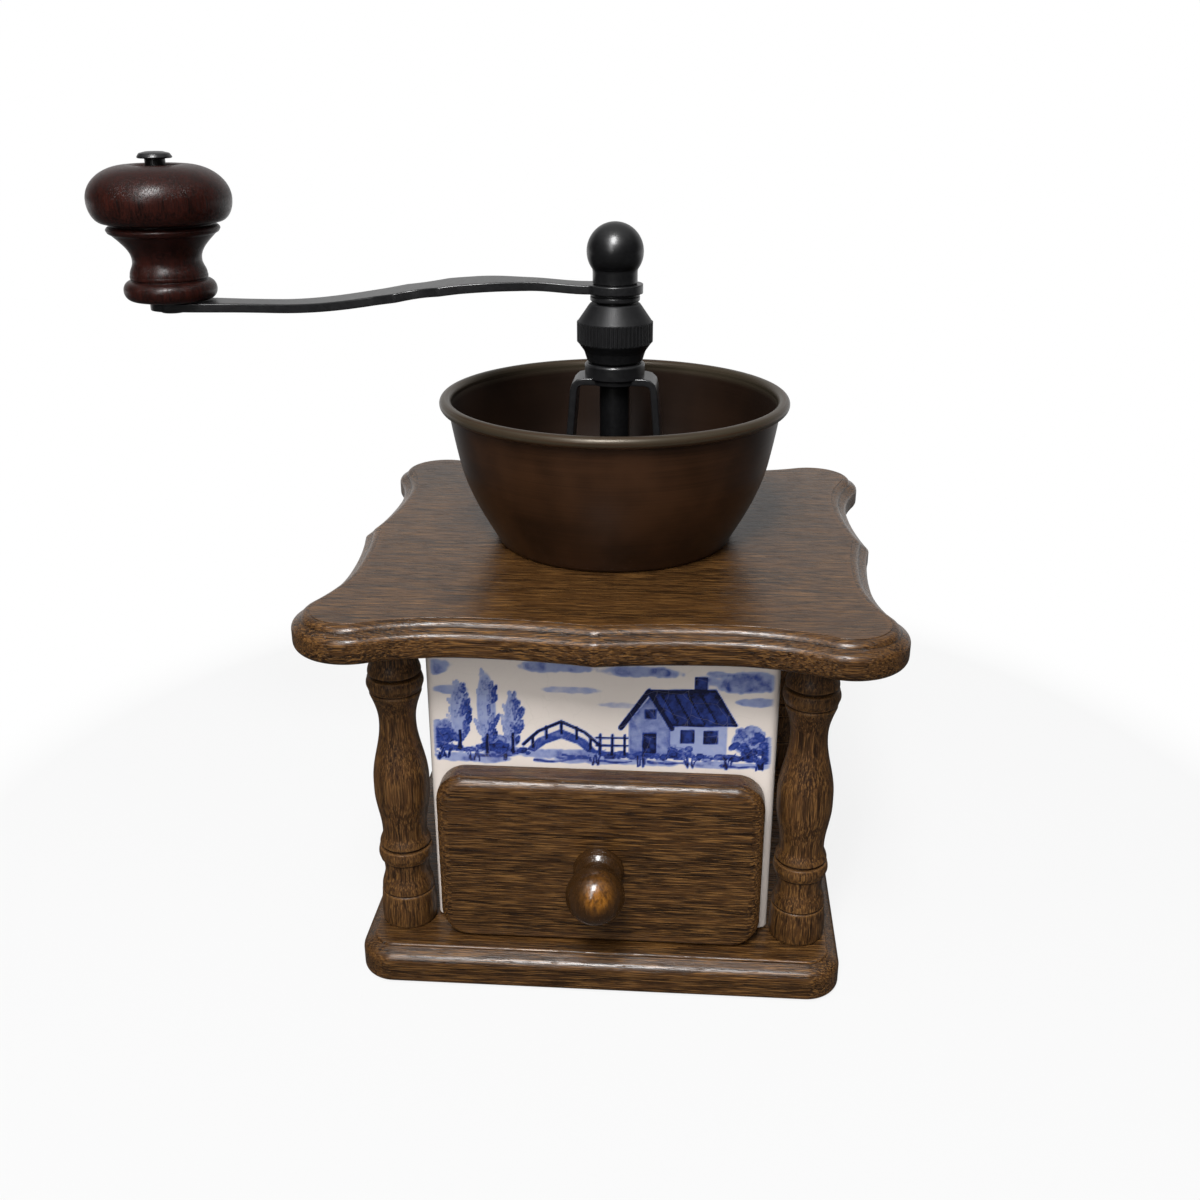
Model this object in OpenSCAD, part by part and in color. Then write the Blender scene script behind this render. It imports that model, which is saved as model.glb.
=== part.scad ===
// Table coffee mill with a turned-post wooden case, a glazed body, a spun hopper and a side crank.
// Millimetres. The origin is the centre of the base underside, on the spindle axis.
// +Z is up, the drawer opens towards -Y and the crank arm points towards -X.

/* [Base board] */
// How far the base board reaches past the axes of the posts, sideways
base_margin = 12; // [9:0.1:16]
// Thickness of the base board
base_t = 11; // [9:0.5:14]
// Corner radius of the base board in plan
base_corner_r = 10; // [7:0.5:13]
// Width of the base moulding, from the outline in to the arris
base_mould_w = 3.6; // [2.8:0.2:4.6]

/* [Top board] */
// How far the ears of the top board reach past the axes of the posts, sideways
top_margin = 22.2; // [20:0.2:26]
// Thickness of the top board
top_t = 9.9; // [8.5:0.1:12]
// Radius of the four round ears
top_ear_r = 15.4; // [14:0.2:16.4]
// How far the cusp on each side stands back from the ears
top_cusp_back = 3.1; // [2.4:0.1:4]
// How far the lowest point of each hollow stands back from the ears
top_hollow_back = 6.3; // [5.4:0.1:7.4]
// How far along the side the hollow is lowest
top_hollow_at = 33; // [29:0.5:37]
// Width of the top moulding, from the outline in to the arris
top_mould_w = 5; // [4:0.2:6]

/* [Posts] */
// Gap between the foot of a post and the side of the body
post_gap = 0.45; // [0.3:0.05:1]
// How far the axis of a post lies inside the body's front or rear
post_set = 0.3; // [0:0.1:6]
// Radius of the foot of a post
post_foot_r = 7.95; // [7.2:0.05:8.1]
// Radius of the two rings of a post
post_ring_r = 7.75; // [7.2:0.05:8.1]
// Radius of the belly of a post
post_belly_r = 7.8; // [7.2:0.05:8.1]
// Radius of the slim neck of a post
post_neck_r = 5.1; // [4.6:0.1:6]
// Radius of the lower waist of a post
post_waist_r = 6.25; // [5.6:0.05:6.8]
// Radius of the round tenon on top of a post
post_tenon_r = 4.5; // [3.5:0.1:5.2]
// Length of the round tenon on top of a post
post_tenon_l = 6; // [4:0.5:7]

/* [Glazed body] */
// Height of the body between the two boards
body_h = 93.3; // [86:0.1:110]
// Width of the body from side to side
body_w = 96.4; // [92:0.1:96.4]
// Depth of the body from front to back
body_d = 102; // [96:0.5:106]
// Wall thickness of the body
body_wall = 5; // [4:0.1:6]
// Radius of the upright corners of the body
body_corner_r = 2.5; // [1.5:0.1:4]

/* [Drawer] */
// Width of the drawer front
front_w = 91; // [87:0.2:93]
// Height of the drawer front
front_h = 51.4; // [48:0.2:56]
// Thickness of the drawer front
front_t = 9.1; // [7.5:0.1:11]
// Corner radius of the drawer front
front_corner_r = 8; // [5:0.5:11]
// Width of the round-over along the edge of the drawer front
front_round = 3.2; // [2:0.1:4.2]
// Outside width of the drawer box
box_w = 75; // [66:0.5:77]
// Height of the drawer box sides
box_h = 42.6; // [34:0.2:43.6]
// Free depth between the drawer box and the rear wall of the body
box_rear_gap = 2.3; // [1.5:0.1:12]
// Thickness of the drawer box sides and back
box_side_t = 4; // [3:0.1:5]
// Thickness of the drawer bottom
box_floor_t = 2.5; // [2:0.1:3.5]
// Height of the drawer bottom above the lower edge of the sides
box_floor_up = 2.6; // [2:0.1:5]
// Depth of the grooves that hold the drawer bottom
box_groove = 1.5; // [1:0.1:2]
// Height of the two wooden guides beside the drawer
guide_h = 9; // [6:0.5:16]

/* [Drawer knob] */
// Radius of the ball of the drawer knob
pull_ball_r = 8.1; // [7:0.1:9]
// Radius of the collar against the drawer front
pull_collar_r = 7.2; // [6:0.1:8]
// Radius of the waist of the drawer knob
pull_waist_r = 5; // [4:0.1:6]
// Distance from the drawer front to the middle of the ball
pull_reach = 12.5; // [11:0.1:15]
// How far the knob sits below the middle of the drawer front
pull_drop = 1.2; // [0:0.1:3]

/* [Hopper] */
// Outer radius over the rolled rim
hopper_rim_r = 50; // [49:0.1:54]
// Height of the middle of the rolled rim above the top board
hopper_h = 40.6; // [36:0.1:46]
// Radius of the rolled rim's own bead
hopper_bead_r = 1.7; // [1.3:0.1:2]
// Radius of the foot of the hopper
hopper_foot_r = 34.4; // [33:0.1:36]
// Radius at the crease of the wall
hopper_crease_r = 42.9; // [42:0.1:44]
// Height of the crease above the top board
hopper_crease_h = 16; // [13:0.1:19]
// Sheet thickness of the hopper
hopper_t = 0.9; // [0.7:0.1:1.4]
// Radius of the opening in the hopper floor
hopper_hole_r = 18.6; // [18:0.1:19]

/* [Bearing bracket] */
// Height of the bracket's top face above the hopper floor
bracket_h = 46.7; // [44:0.1:52]
// Half width of the bracket over its top bends
bracket_half = 12.1; // [11.6:0.1:13]
// How much further out the legs stand at the bottom
bracket_splay = 3.9; // [3:0.1:4.4]
// Width of the bracket strap
bracket_w = 12; // [10:0.5:14]
// Thickness of the bracket strap
bracket_t = 2; // [1.6:0.1:2.4]
// Distance of each bracket screw from the axis
bracket_screw_x = 25; // [24.6:0.1:26]
// Radius of the round boss on the bracket
boss_r = 8.5; // [8:0.1:9.5]
// Height of the round boss on the bracket
boss_h = 3.7; // [3:0.1:5]
// Radius of the spigot that centres the adjusting nut
spigot_r = 6.2; // [5.9:0.05:6.4]
// Height of the spigot
spigot_h = 3; // [2:0.1:3.4]

/* [Adjusting nut] */
// Radius of the knurled band
nut_r = 10.7; // [10:0.1:12]
// Height of the knurled band
nut_band_h = 6; // [4:0.1:8]
// Height of the flared part below the band
nut_flare_h = 5.3; // [4.6:0.1:7]
// Height of the cone above the band
nut_cone_h = 4.8; // [3:0.1:6]
// Radius at the top of the cone
nut_top_r = 6.95; // [6.5:0.05:8]
// Number of ridges round the band
nut_ridges = 56; // [40:1:64]
// Depth of the knurl
nut_knurl = 0.35; // [0.2:0.05:0.5]

/* [Bearing sleeve] */
// Outer radius of the sleeve
sleeve_r = 5; // [4.8:0.05:5.2]
// Thickness of the sleeve head
sleeve_head_t = 1.4; // [1:0.1:2]
// Free height between the nut and the sleeve head
sleeve_head_gap = 0.6; // [0.5:0.05:1]
// Thickness of the thrust washer
washer_t = 0.75; // [0.5:0.05:1.2]
// Radius of the thrust washer
washer_r = 6.9; // [6:0.05:7.4]
// Width of the sleeve keyway
keyway_w = 2.2; // [2.1:0.1:2.6]
// Depth of the sleeve keyway
keyway_depth = 0.8; // [0.6:0.1:0.9]
// Radius of the grub screw that keys the sleeve
key_screw_r = 1; // [0.8:0.05:1]

/* [Spindle] */
// Radius of the spindle in the hopper
spindle_r = 4.3; // [4.1:0.05:4.6]
// Radius of the spindle in the sleeve
spindle_top_r = 3.4; // [3:0.05:3.5]
// Radius of the spindle in the lower bearing
journal_r = 3.45; // [3:0.05:3.6]
// Radius of the burr seat on the spindle
burr_seat_r = 3.9; // [3.7:0.05:4]
// Side of the square that drives the crank
square_side = 4.7; // [4:0.1:4.8]
// Radius of the threaded end
stud_r = 2.1; // [1.6:0.05:2.2]
// Length of the threaded end above the crank
stud_l = 10; // [7:0.5:11]

/* [Crank] */
// Distance between the spindle axis and the crank knob axis
crank_l = 126.5; // [118:0.5:140]
// Thickness of the crank arm
arm_t = 2.5; // [2:0.1:3.2]
// How far the arm drops from the spindle to the knob
arm_drop = 6.3; // [4:0.1:8]
// How far the arm rises beside the eye before it drops
arm_bow = 0.8; // [0:0.1:1.4]
// Radius of the eye on the spindle
arm_eye_r = 7.8; // [7:0.1:9]
// Radius of the rounded outer end
arm_end_r = 6.2; // [5.5:0.1:8]
// Half width of the arm at the two cusps
arm_cusp = 9.3; // [8.4:0.1:10]
// Distance between the two cusps
arm_cusp_gap = 12; // [9:0.5:16]
// Half width of the narrow neck beside the eye
arm_neck = 4.1; // [3.6:0.1:5]
// Half width of the arm before its rounded outer end
arm_tail = 4.7; // [4:0.1:5.6]
// Length of the level stretch at each end of the arm
arm_level_l = 30; // [24:0.5:36]
// Depth of the scallop between the cusps
arm_scallop = 1.7; // [1.2:0.1:2.2]

/* [Ball nut] */
// Radius of the ball
ball_r = 7.9; // [7:0.1:8.6]
// Radius of the neck below the ball
ball_neck_r = 6.25; // [5.5:0.05:6.6]
// Height of the middle of the ball above the crank eye
ball_up = 8.7; // [8:0.1:10]

/* [Crank knob] */
// Radius of the round disc of the knob
knob_r = 19.4; // [18:0.1:22]
// Height of the whole knob
knob_h = 36.4; // [35:0.1:40]
// Radius of the bead at the bottom of the knob
knob_bead_r = 12.75; // [12:0.05:13.8]
// Radius of the neck of the knob
knob_neck_r = 9.45; // [8.4:0.05:9.9]
// Radius of the ring below the disc
knob_ring_r = 15.5; // [14.6:0.1:16.4]
// Radius of the rivet that the knob turns on
rivet_r = 2.75; // [2.4:0.05:3]
// Radius of the rivet head
rivet_head_r = 4.75; // [4.4:0.05:5.6]
// Height of the rivet head
rivet_head_h = 1.8; // [1.2:0.1:2.4]
// Free height between the knob and the rivet head
rivet_play = 1.6; // [0.6:0.1:2]

/* [Grinding set] */
// Outer radius of the ring burr below its flange
ring_r = 24; // [23:0.1:26]
// Radius of the ring burr's flange
ring_flange_r = 31; // [30:0.1:33]
// Thickness of the ring burr's flange
ring_flange_t = 3; // [2.4:0.1:4]
// Radius of the ring burr's neck in the top board
ring_neck_r = 21; // [20.6:0.1:21.6]
// Length of the ring burr below the top board
ring_drop = 26.3; // [25:0.1:30]
// Height of the fine grinding zone
fine_h = 12; // [9:0.5:14]
// Radius over the teeth at the bottom of the inner burr
cone_r = 16; // [15:0.1:16.4]
// How much the fine zone narrows towards its top
cone_taper = 2.4; // [1.6:0.1:3]
// Radial gap between the fine teeth
burr_gap = 0.6; // [0.5:0.05:0.9]
// Depth of the fine teeth
tooth_depth = 1.2; // [0.8:0.1:1.5]
// Number of fine teeth on the inner burr
cone_teeth = 24; // [18:1:30]
// Number of fine teeth in the ring burr
ring_teeth = 26; // [18:1:32]
// Twist of the fine teeth in degrees
tooth_twist = 18; // [8:1:26]
// Height of the feed zone of the inner burr
feed_h = 17; // [14:0.5:19]
// Number of flutes on the feed zone
feed_flutes = 5; // [4:1:7]
// Number of flutes in the throat of the ring burr
ring_flutes = 6; // [4:1:8]
// Thickness of the lower bearing bridge
bridge_t = 3.5; // [3:0.1:5]
// Width of the lower bearing bridge
bridge_w = 11; // [10:0.5:14]
// Distance of each bridge screw from the axis
bridge_screw_x = 20.6; // [20.4:0.1:21]
// Radius of the collar that holds the inner burr
collar_r = 6.5; // [5.5:0.1:8]
// Height of the collar
collar_h = 2.8; // [2.2:0.1:3]
// Free height between the collar and the lower bearing bridge
collar_up = 1.2; // [0.8:0.1:1.6]

/* [Fasteners and fits] */
// Shank radius of the wood screws in the base
wood_screw_r = 2; // [1.6:0.1:2.4]
// Length of the wood screws in the base
wood_screw_l = 30; // [22:1:40]
// Head radius of the wood screws in the base
wood_head_r = 4; // [3.4:0.1:4.6]
// Shank radius of the bracket screws
bracket_screw_r = 2; // [1.6:0.1:2.2]
// Head radius of the bracket screws
bracket_head_r = 3.6; // [3:0.1:4.2]
// Head height of the bracket screws
bracket_head_h = 2.2; // [1.6:0.1:3]
// Shank radius of the bridge screws
bridge_screw_r = 1.3; // [1:0.05:1.4]
// Head radius of the bridge screws
bridge_head_r = 2.6; // [2.2:0.1:3]
// How deep the bridge screws reach into the ring burr
bridge_screw_grip = 6.5; // [5:0.5:7]
// Head height of the bridge screws
bridge_head_h = 1.6; // [1.2:0.1:2.2]
// Shank radius of the drawer knob screw
pull_screw_r = 1.75; // [1.4:0.05:2.2]
// Head radius of the drawer knob screw
pull_head_r = 3.4; // [2.8:0.1:4]
// Head height of the drawer knob screw
pull_head_h = 1.8; // [1.2:0.1:2.4]
// Radial clearance of shafts and screws in their holes
run_gap = 0.05; // [0.03:0.01:0.08]
// Gap between pieces that slide or turn against each other
slide_gap = 0.3; // [0.25:0.05:0.4]
// Side clearance of the drawer in its guides and in the body
drawer_gap = 0.5; // [0.4:0.1:0.8]

/* [Hidden] */

// Colours
walnut_stain = [0.36, 0.23, 0.13];
knob_stain = [0.20, 0.08, 0.05];
plain_beech = [0.72, 0.55, 0.36];
glaze = [0.93, 0.92, 0.90];
copper_brown = [0.36, 0.24, 0.16];
black_metal = [0.13, 0.13, 0.14];
cast_grey = [0.34, 0.34, 0.35];
zinc = [0.66, 0.66, 0.64];

// Plan of the case: the posts flank the body, and both boards follow the posts
post_x = body_w / 2 + post_gap + post_foot_r;
post_y = body_d / 2 - post_set;
base_side = 2 * (post_x + base_margin);
top_half = post_x + top_margin;
top_cusp_half = top_half - top_cusp_back;
top_hollow_half = top_half - top_hollow_back;

// Levels, from the floor up
under_top = base_t + body_h;
top_face = under_top + top_t;
hopper_floor = top_face + hopper_t;
bracket_top = hopper_floor + bracket_h;
boss_top = bracket_top + boss_h;
nut_bottom = boss_top + slide_gap;
nut_top = nut_bottom + nut_flare_h + nut_band_h + nut_cone_h;
head_bottom = nut_top + sleeve_head_gap;
washer_bottom = head_bottom + sleeve_head_t + run_gap;
eye_bottom = washer_bottom + washer_t;
eye_top = eye_bottom + arm_t;
arm_low = eye_bottom - arm_drop;
knob_bottom = arm_low + arm_t + slide_gap;
knob_top = knob_bottom + knob_h;
rivet_head = knob_top + rivet_play;
shoulder_top = bracket_top - bracket_t - slide_gap - slide_gap;

// Levels of the grinding set, from the ring burr's lower face up
ring_bottom = under_top - ring_drop;
collar_low = ring_bottom + collar_up;
cone_bottom = collar_low + collar_h;
fine_top = cone_bottom + fine_h;
cone_top = fine_top + feed_h;
ring_top = top_face - slide_gap;

// Places of the drawer
body_front = -body_d / 2;
front_back = body_front - slide_gap;
front_face = front_back - front_t;
box_l = body_d + slide_gap - body_wall - box_rear_gap;
drawer_low = base_t + slide_gap;
pull_z = drawer_low + front_h / 2 - pull_drop;
floor_low = drawer_low + box_floor_up;
mouth_half = box_w / 2 + 2 * drawer_gap;
mouth_top = drawer_low + box_h + 3 * drawer_gap;

// Chamfer on the edges of turned metal
edge_chamfer = 0.5;

// Arc about c from angle a0 to a1 in n steps
function arc(c, r, a0, a1, n) =
    [for (i = [0:n]) let (a = a0 + (a1 - a0) * i / n) c + r * [cos(a), sin(a)]];

// Even S-shaped change from point a to point b of a turned profile
function ease(a, b, n) =
    [for (i = [0:n]) [a[0] + (b[0] - a[0]) * (1 - cos(180 * i / n)) / 2, a[1] + (b[1] - a[1]) * i / n]];

// Hollow that leaves point a along the axis and flares towards point b
function flare(a, b, n) =
    [for (i = [0:n]) [a[0] + (b[0] - a[0]) * (1 - cos(90 * i / n)), a[1] + (b[1] - a[1]) * i / n]];

// Rounded rectangle with half sizes hx and hy, anticlockwise from the front right corner
function round_rect(hx, hy, r, n) =
    [for (q = [0:3])
        let (c = [(q < 2 ? 1 : -1) * (hx - r), (q == 1 || q == 2 ? 1 : -1) * (hy - r)])
        each arc(c, r, 90 * q - 90, 90 * q, n)];

// A flat outline lifted to height z
function lift(outline, z) = [for (p = outline) [p[0], p[1], z]];

// Moulded edge as [inset, height] pairs: lower round, convex face, small ledge and arris
function moulding(t, w, low_r, face_low, ledge, step) = concat(
    [for (i = [0:3]) [low_r * (1 - sin(30 * i)), low_r * (1 - cos(30 * i))]],
    [for (i = [0:6]) [(w - ledge) * (1 - cos(15 * i)), face_low + (t - step - face_low) * sin(15 * i)]],
    [[w, t - step], [w, t]]
);

// Closed solid through a stack of rings that all have the same number of points
module ring_stack(rings) {
    n = len(rings[0]);
    m = len(rings);
    sides = [for (k = [0:m - 2]) for (i = [0:n - 1]) let (j = (i + 1) % n)
        [k * n + i, (k + 1) * n + i, (k + 1) * n + j, k * n + j]];
    caps = [[for (i = [0:n - 1]) i], [for (i = [n - 1:-1:0]) (m - 1) * n + i]];
    polyhedron(points = [for (ring = rings) each ring], faces = concat(sides, caps), convexity = 6);
}

// Children copied to the four post axes
module at_posts() {
    for (x = [-post_x, post_x]) for (y = [-post_y, post_y]) translate([x, y, 0]) children();
}

// Children copied to x = -d and x = d
module at_pair(d) {
    for (x = [-d, d]) translate([x, 0, 0]) children();
}

// Screw with a cylindrical head, shank pointing down from the seat at z = 0
module cap_screw(shank_r, head_r, head_h, l) {
    rotate_extrude($fn = 48)
        polygon([[0, -l], [shank_r - 0.4, -l], [shank_r, -l + 0.8], [shank_r, 0], [head_r, 0],
            [head_r, head_h * 0.55], [head_r * 0.72, head_h], [0, head_h]]);
}

// ---- Wooden case ----

base_low_r = 1.8;
base_ledge = 0.4;
base_step = 0.9;
base_face_low = 3.2;

module base_plate() {
    color(walnut_stain)
    difference() {
        ring_stack([for (e = moulding(base_t, base_mould_w, base_low_r, base_face_low, base_ledge, base_step))
            lift(round_rect(base_side / 2 - e[0], base_side / 2 - e[0], base_corner_r - e[0], 6), e[1])]);
        at_posts() wood_screw_form(run_gap, base_t + 1, -1);
    }
}

wood_head_h = 2.2;
wood_head_sink = 0.4;

// Countersunk screw seen from below, grown by g all round
module wood_screw_form(g, top, low) {
    rotate_extrude($fn = 48)
        polygon([[0, low], [wood_head_r + g, low], [wood_head_r + g, wood_head_sink],
            [wood_screw_r + g, wood_head_sink + wood_head_h], [wood_screw_r + g, top], [0, top]]);
}

module base_screws() {
    color(zinc) at_posts() wood_screw_form(0, wood_screw_l, wood_head_sink - 0.1);
}

// The outline of the top board drawn in by d: hollow arcs, round ears and a mitred cusp on each side
ear_mid = top_half - top_ear_r;
cusp_rise = top_cusp_half - top_hollow_half;
long_arc_r = (pow(top_hollow_at, 2) + pow(cusp_rise, 2)) / (2 * cusp_rise);
ear_run = ear_mid - top_hollow_at;
ear_rise = top_hollow_half - ear_mid;
short_arc_r = (pow(ear_run, 2) + pow(ear_rise, 2) - pow(top_ear_r, 2)) / (2 * (top_ear_r - ear_rise));
ear_turn = atan2(ear_run, ear_rise + short_arc_r);

function half_side(d) =
    let (
        long_r = long_arc_r + d,
        short_r = short_arc_r + d,
        cusp_a = asin(top_hollow_at / long_r),
        long_mid = top_hollow_half + long_arc_r,
        short_mid = top_hollow_half + short_arc_r
    )
    concat(
        [for (i = [0:6]) let (a = cusp_a * (i / 7 - 1))
            [top_hollow_at + long_r * sin(a), long_mid - long_r * cos(a)]],
        [for (i = [0:5]) let (a = ear_turn * i / 6)
            [top_hollow_at + short_r * sin(a), short_mid - short_r * cos(a)]],
        [for (i = [0:6]) let (a = -ear_turn + (45 + ear_turn) * i / 6)
            [ear_mid, ear_mid] + (top_ear_r - d) * [sin(a), cos(a)]]
    );

function quarter_outline(d) =
    let (half = half_side(d), n = len(half))
    concat([for (p = half) [p[0], -p[1]]], [for (i = [n - 2:-1:1]) [half[i][1], -half[i][0]]]);

function top_outline(d) =
    [for (q = [0:3]) let (c = cos(90 * q), s = sin(90 * q))
        for (p = quarter_outline(d)) [p[0] * c - p[1] * s, p[0] * s + p[1] * c]];

top_low_r = 2.3;
top_ledge = 0.4;
top_step = 1.2;
top_face_low = 3.1;

module top_plate() {
    color(walnut_stain)
    difference() {
        ring_stack([for (e = moulding(top_t, top_mould_w, top_low_r, top_face_low, top_ledge, top_step))
            lift(top_outline(e[0]), under_top + e[1])]);
        translate([0, 0, under_top - 1]) cylinder(r = ring_neck_r + slide_gap, h = top_t + 2, $fn = 96);
        at_posts() translate([0, 0, under_top - 1])
            cylinder(r = post_tenon_r + run_gap, h = post_tenon_l + 1 + slide_gap, $fn = 48);
        at_pair(bracket_screw_x) translate([0, 0, under_top - 1])
            cylinder(r = bracket_screw_r + run_gap, h = top_t + 2, $fn = 48);
    }
}

// Turned profile of a post as [radius, height above the base board]
function post_profile(h) = concat(
    [[0, 0], [post_foot_r - 0.5, 0]],
    ease([post_foot_r - 0.1, 0.9], [post_foot_r + 0.05, 4.2], 3),
    ease([post_foot_r + 0.02, 5], [post_foot_r - 0.35, 10.2], 4),
    [[post_foot_r - 0.8, 10.6], [post_foot_r - 0.45, 11.1]],
    ease([post_foot_r - 0.5, 11.3], [post_waist_r + 0.1, 17], 5),
    ease([post_waist_r + 0.11, 17.4], [post_waist_r + 0.4, 20.6], 3),
    ease([post_ring_r - 0.4, 21], [post_ring_r, 22.8], 3),
    ease([post_ring_r - 0.01, 23.2], [post_ring_r - 0.3, 24.9], 3),
    [[post_ring_r - 0.75, 25.3]],
    ease([post_ring_r - 0.5, 25.9], [post_waist_r, 29.6], 4),
    ease([post_waist_r + 0.01, 30], [post_belly_r, 43.5], 8),
    ease([post_belly_r - 0.01, h - 47], [post_neck_r, h - 28.9], 9),
    flare([post_neck_r + 0.01, h - 28.4], [post_ring_r - 0.5, h - 19.5], 6),
    [[post_ring_r - 0.85, h - 19]],
    ease([post_ring_r - 0.4, h - 18.6], [post_ring_r + 0.1, h - 16.7], 3),
    ease([post_ring_r + 0.09, h - 16.4], [post_ring_r - 0.3, h - 14.6], 3),
    [[post_ring_r - 0.7, h - 14.2], [post_ring_r - 0.4, h - 13.6]],
    ease([post_ring_r - 0.45, h - 13.4], [post_waist_r - 0.05, h - 8.8], 5),
    [[post_waist_r - 0.15, h], [post_tenon_r, h], [post_tenon_r, h + post_tenon_l], [0, h + post_tenon_l]]
);

module post(x, y) {
    color(walnut_stain)
    translate([x, y, base_t])
    difference() {
        rotate_extrude($fn = 64) polygon(post_profile(body_h));
        translate([0, 0, -1])
            cylinder(r = wood_screw_r + run_gap, h = wood_screw_l - base_t + 1.5, $fn = 48);
    }
}

module post_front_left() { post(-post_x, -post_y); }
module post_front_right() { post(post_x, -post_y); }
module post_rear_left() { post(-post_x, post_y); }
module post_rear_right() { post(post_x, post_y); }

// ---- Glazed body and drawer guides ----

module ceramic_body() {
    edge_r = 0.9;
    edge = concat(
        [for (i = [0:2]) [edge_r * (1 - sin(45 * i)), edge_r * (1 - cos(45 * i))]],
        [for (i = [0:2]) [edge_r * (1 - cos(45 * i)), body_h - edge_r * (1 - sin(45 * i))]]
    );
    color(glaze)
    difference() {
        ring_stack([for (e = edge)
            lift(round_rect(body_w / 2 - e[0], body_d / 2 - e[0], body_corner_r - e[0], 4), base_t + e[1])]);
        translate([-body_w / 2 + body_wall, -body_d / 2 + body_wall, base_t - 1])
            cube([body_w - 2 * body_wall, body_d - 2 * body_wall, body_h + 2]);
        translate([-mouth_half, body_front - 1, base_t - 1])
            cube([2 * mouth_half, body_wall + 2, mouth_top - base_t + 1]);
    }
}

module drawer_guide() {
    inner = box_w / 2 + drawer_gap;
    outer = body_w / 2 - body_wall;
    color(plain_beech)
    translate([inner, -body_d / 2 + body_wall + slide_gap, base_t])
        cube([outer - inner, body_d - 2 * body_wall - 2 * slide_gap, guide_h]);
}

module drawer_guide_right() { drawer_guide(); }
module drawer_guide_left() { mirror([1, 0, 0]) drawer_guide(); }

// ---- Drawer ----

// Outline of the drawer front drawn in by d, and by less along its lower edge
front_low_share = 0.3;
function front_outline(d) =
    let (low = d * front_low_share)
    [for (p = round_rect(front_w / 2 - d, (front_h - d - low) / 2, front_corner_r - d, 8))
        p + [0, (low - d) / 2]];

module drawer_front() {
    flat = front_t - front_round;
    rear = 0.6;
    edge = concat(
        [[rear, 0], [0, rear]],
        [for (i = [0:6]) [front_round * (1 - cos(15 * i)), flat + front_round * 0.93 * sin(15 * i)]],
        [[front_round + 0.1, front_t]]
    );
    color(walnut_stain)
    difference() {
        translate([0, front_back, drawer_low + front_h / 2]) rotate([90, 0, 0])
            ring_stack([for (e = edge) lift(front_outline(e[0]), e[1])]);
        translate([0, front_back + 1, pull_z]) rotate([90, 0, 0])
            cylinder(r = pull_screw_r + run_gap, h = front_t + 2, $fn = 48);
    }
}

module drawer_side() {
    color(plain_beech)
    difference() {
        translate([box_w / 2 - box_side_t, front_back, drawer_low]) cube([box_side_t, box_l, box_h]);
        translate([box_w / 2 - box_side_t - 1, front_back - 1, floor_low])
            cube([1 + box_groove, box_l - box_side_t + 1, box_floor_t]);
    }
}

module drawer_side_right() { drawer_side(); }
module drawer_side_left() { mirror([1, 0, 0]) drawer_side(); }

module drawer_back() {
    color(plain_beech)
    translate([-box_w / 2 + box_side_t, front_back + box_l - box_side_t, drawer_low])
        cube([box_w - 2 * box_side_t, box_side_t, box_h]);
}

module drawer_bottom() {
    half = box_w / 2 - box_side_t + box_groove - run_gap;
    color(plain_beech)
    translate([-half, front_back, floor_low]) cube([2 * half, box_l - box_side_t, box_floor_t]);
}

// Turned knob with its axis along z and its flat side at z = 0
function pull_profile() =
    let (waist_z = 4.6, flat = 0.93, start = asin(pull_waist_r * 1.02 / pull_ball_r))
    concat(
        [[0, 0], [pull_collar_r - 0.3, 0], [pull_collar_r, 0.5], [pull_collar_r - 0.1, 1.4]],
        ease([pull_collar_r - 0.5, 2], [pull_waist_r, waist_z], 4),
        [for (i = [0:12]) let (a = start + (180 - start) * i / 12)
            [i == 12 ? 0 : pull_ball_r * sin(a), pull_reach - pull_ball_r * flat * cos(a)]]
    );

module drawer_knob() {
    color(walnut_stain)
    translate([0, front_face, pull_z]) rotate([90, 0, 0])
    difference() {
        rotate_extrude($fn = 64) polygon(pull_profile());
        translate([0, 0, -1]) cylinder(r = pull_screw_r + run_gap, h = pull_reach + 1, $fn = 48);
    }
}

module drawer_knob_screw() {
    bore_left = 1.5;
    color(zinc)
    translate([0, front_back, pull_z]) rotate([-90, 0, 0])
        cap_screw(pull_screw_r, pull_head_r, pull_head_h, front_t + pull_reach - bore_left);
}

// ---- Hopper and bearing bracket ----

// The wall ends inside the bead, and is thicker across the slope than the sheet
hopper_wall_r = hopper_rim_r - hopper_bead_r - 0.7;
hopper_across = 1.12 * hopper_t;

// Outer face of the hopper from the foot up, as [radius, height above the top board]
function hopper_outer() = concat(
    [[hopper_foot_r - 1.1, 0], [hopper_foot_r - 0.1, 0.6], [hopper_foot_r + 0.5, 1.7]],
    [[hopper_crease_r - 0.65, hopper_crease_h - 1.2], [hopper_crease_r, hopper_crease_h]],
    [[hopper_crease_r + 0.35, hopper_crease_h + 1.4]],
    [for (i = [1:5]) let (t = i / 5)
        [hopper_crease_r + 0.35 + (hopper_wall_r - hopper_crease_r - 0.35) * (1.25 * t - 0.25 * t * t),
            hopper_crease_h + 1.4 + (hopper_h - 0.4 - hopper_crease_h - 1.4) * t]]
);

module hopper_bowl() {
    outer = hopper_outer();
    n = len(outer);
    inner = [for (i = [n - 1:-1:0]) [outer[i][0] - hopper_across, max(outer[i][1], hopper_t)]];
    color(copper_brown)
    translate([0, 0, top_face])
    difference() {
        rotate_extrude($fn = 128) union() {
            polygon(concat([[hopper_hole_r, 0]], outer, inner, [[hopper_hole_r, hopper_t]]));
            translate([hopper_rim_r - hopper_bead_r, hopper_h]) circle(r = hopper_bead_r, $fn = 32);
        }
        at_pair(bracket_screw_x) translate([0, 0, -1])
            cylinder(r = bracket_screw_r + run_gap, h = hopper_t + 2, $fn = 48);
    }
}

bracket_foot_r = bracket_w / 2;

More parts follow.
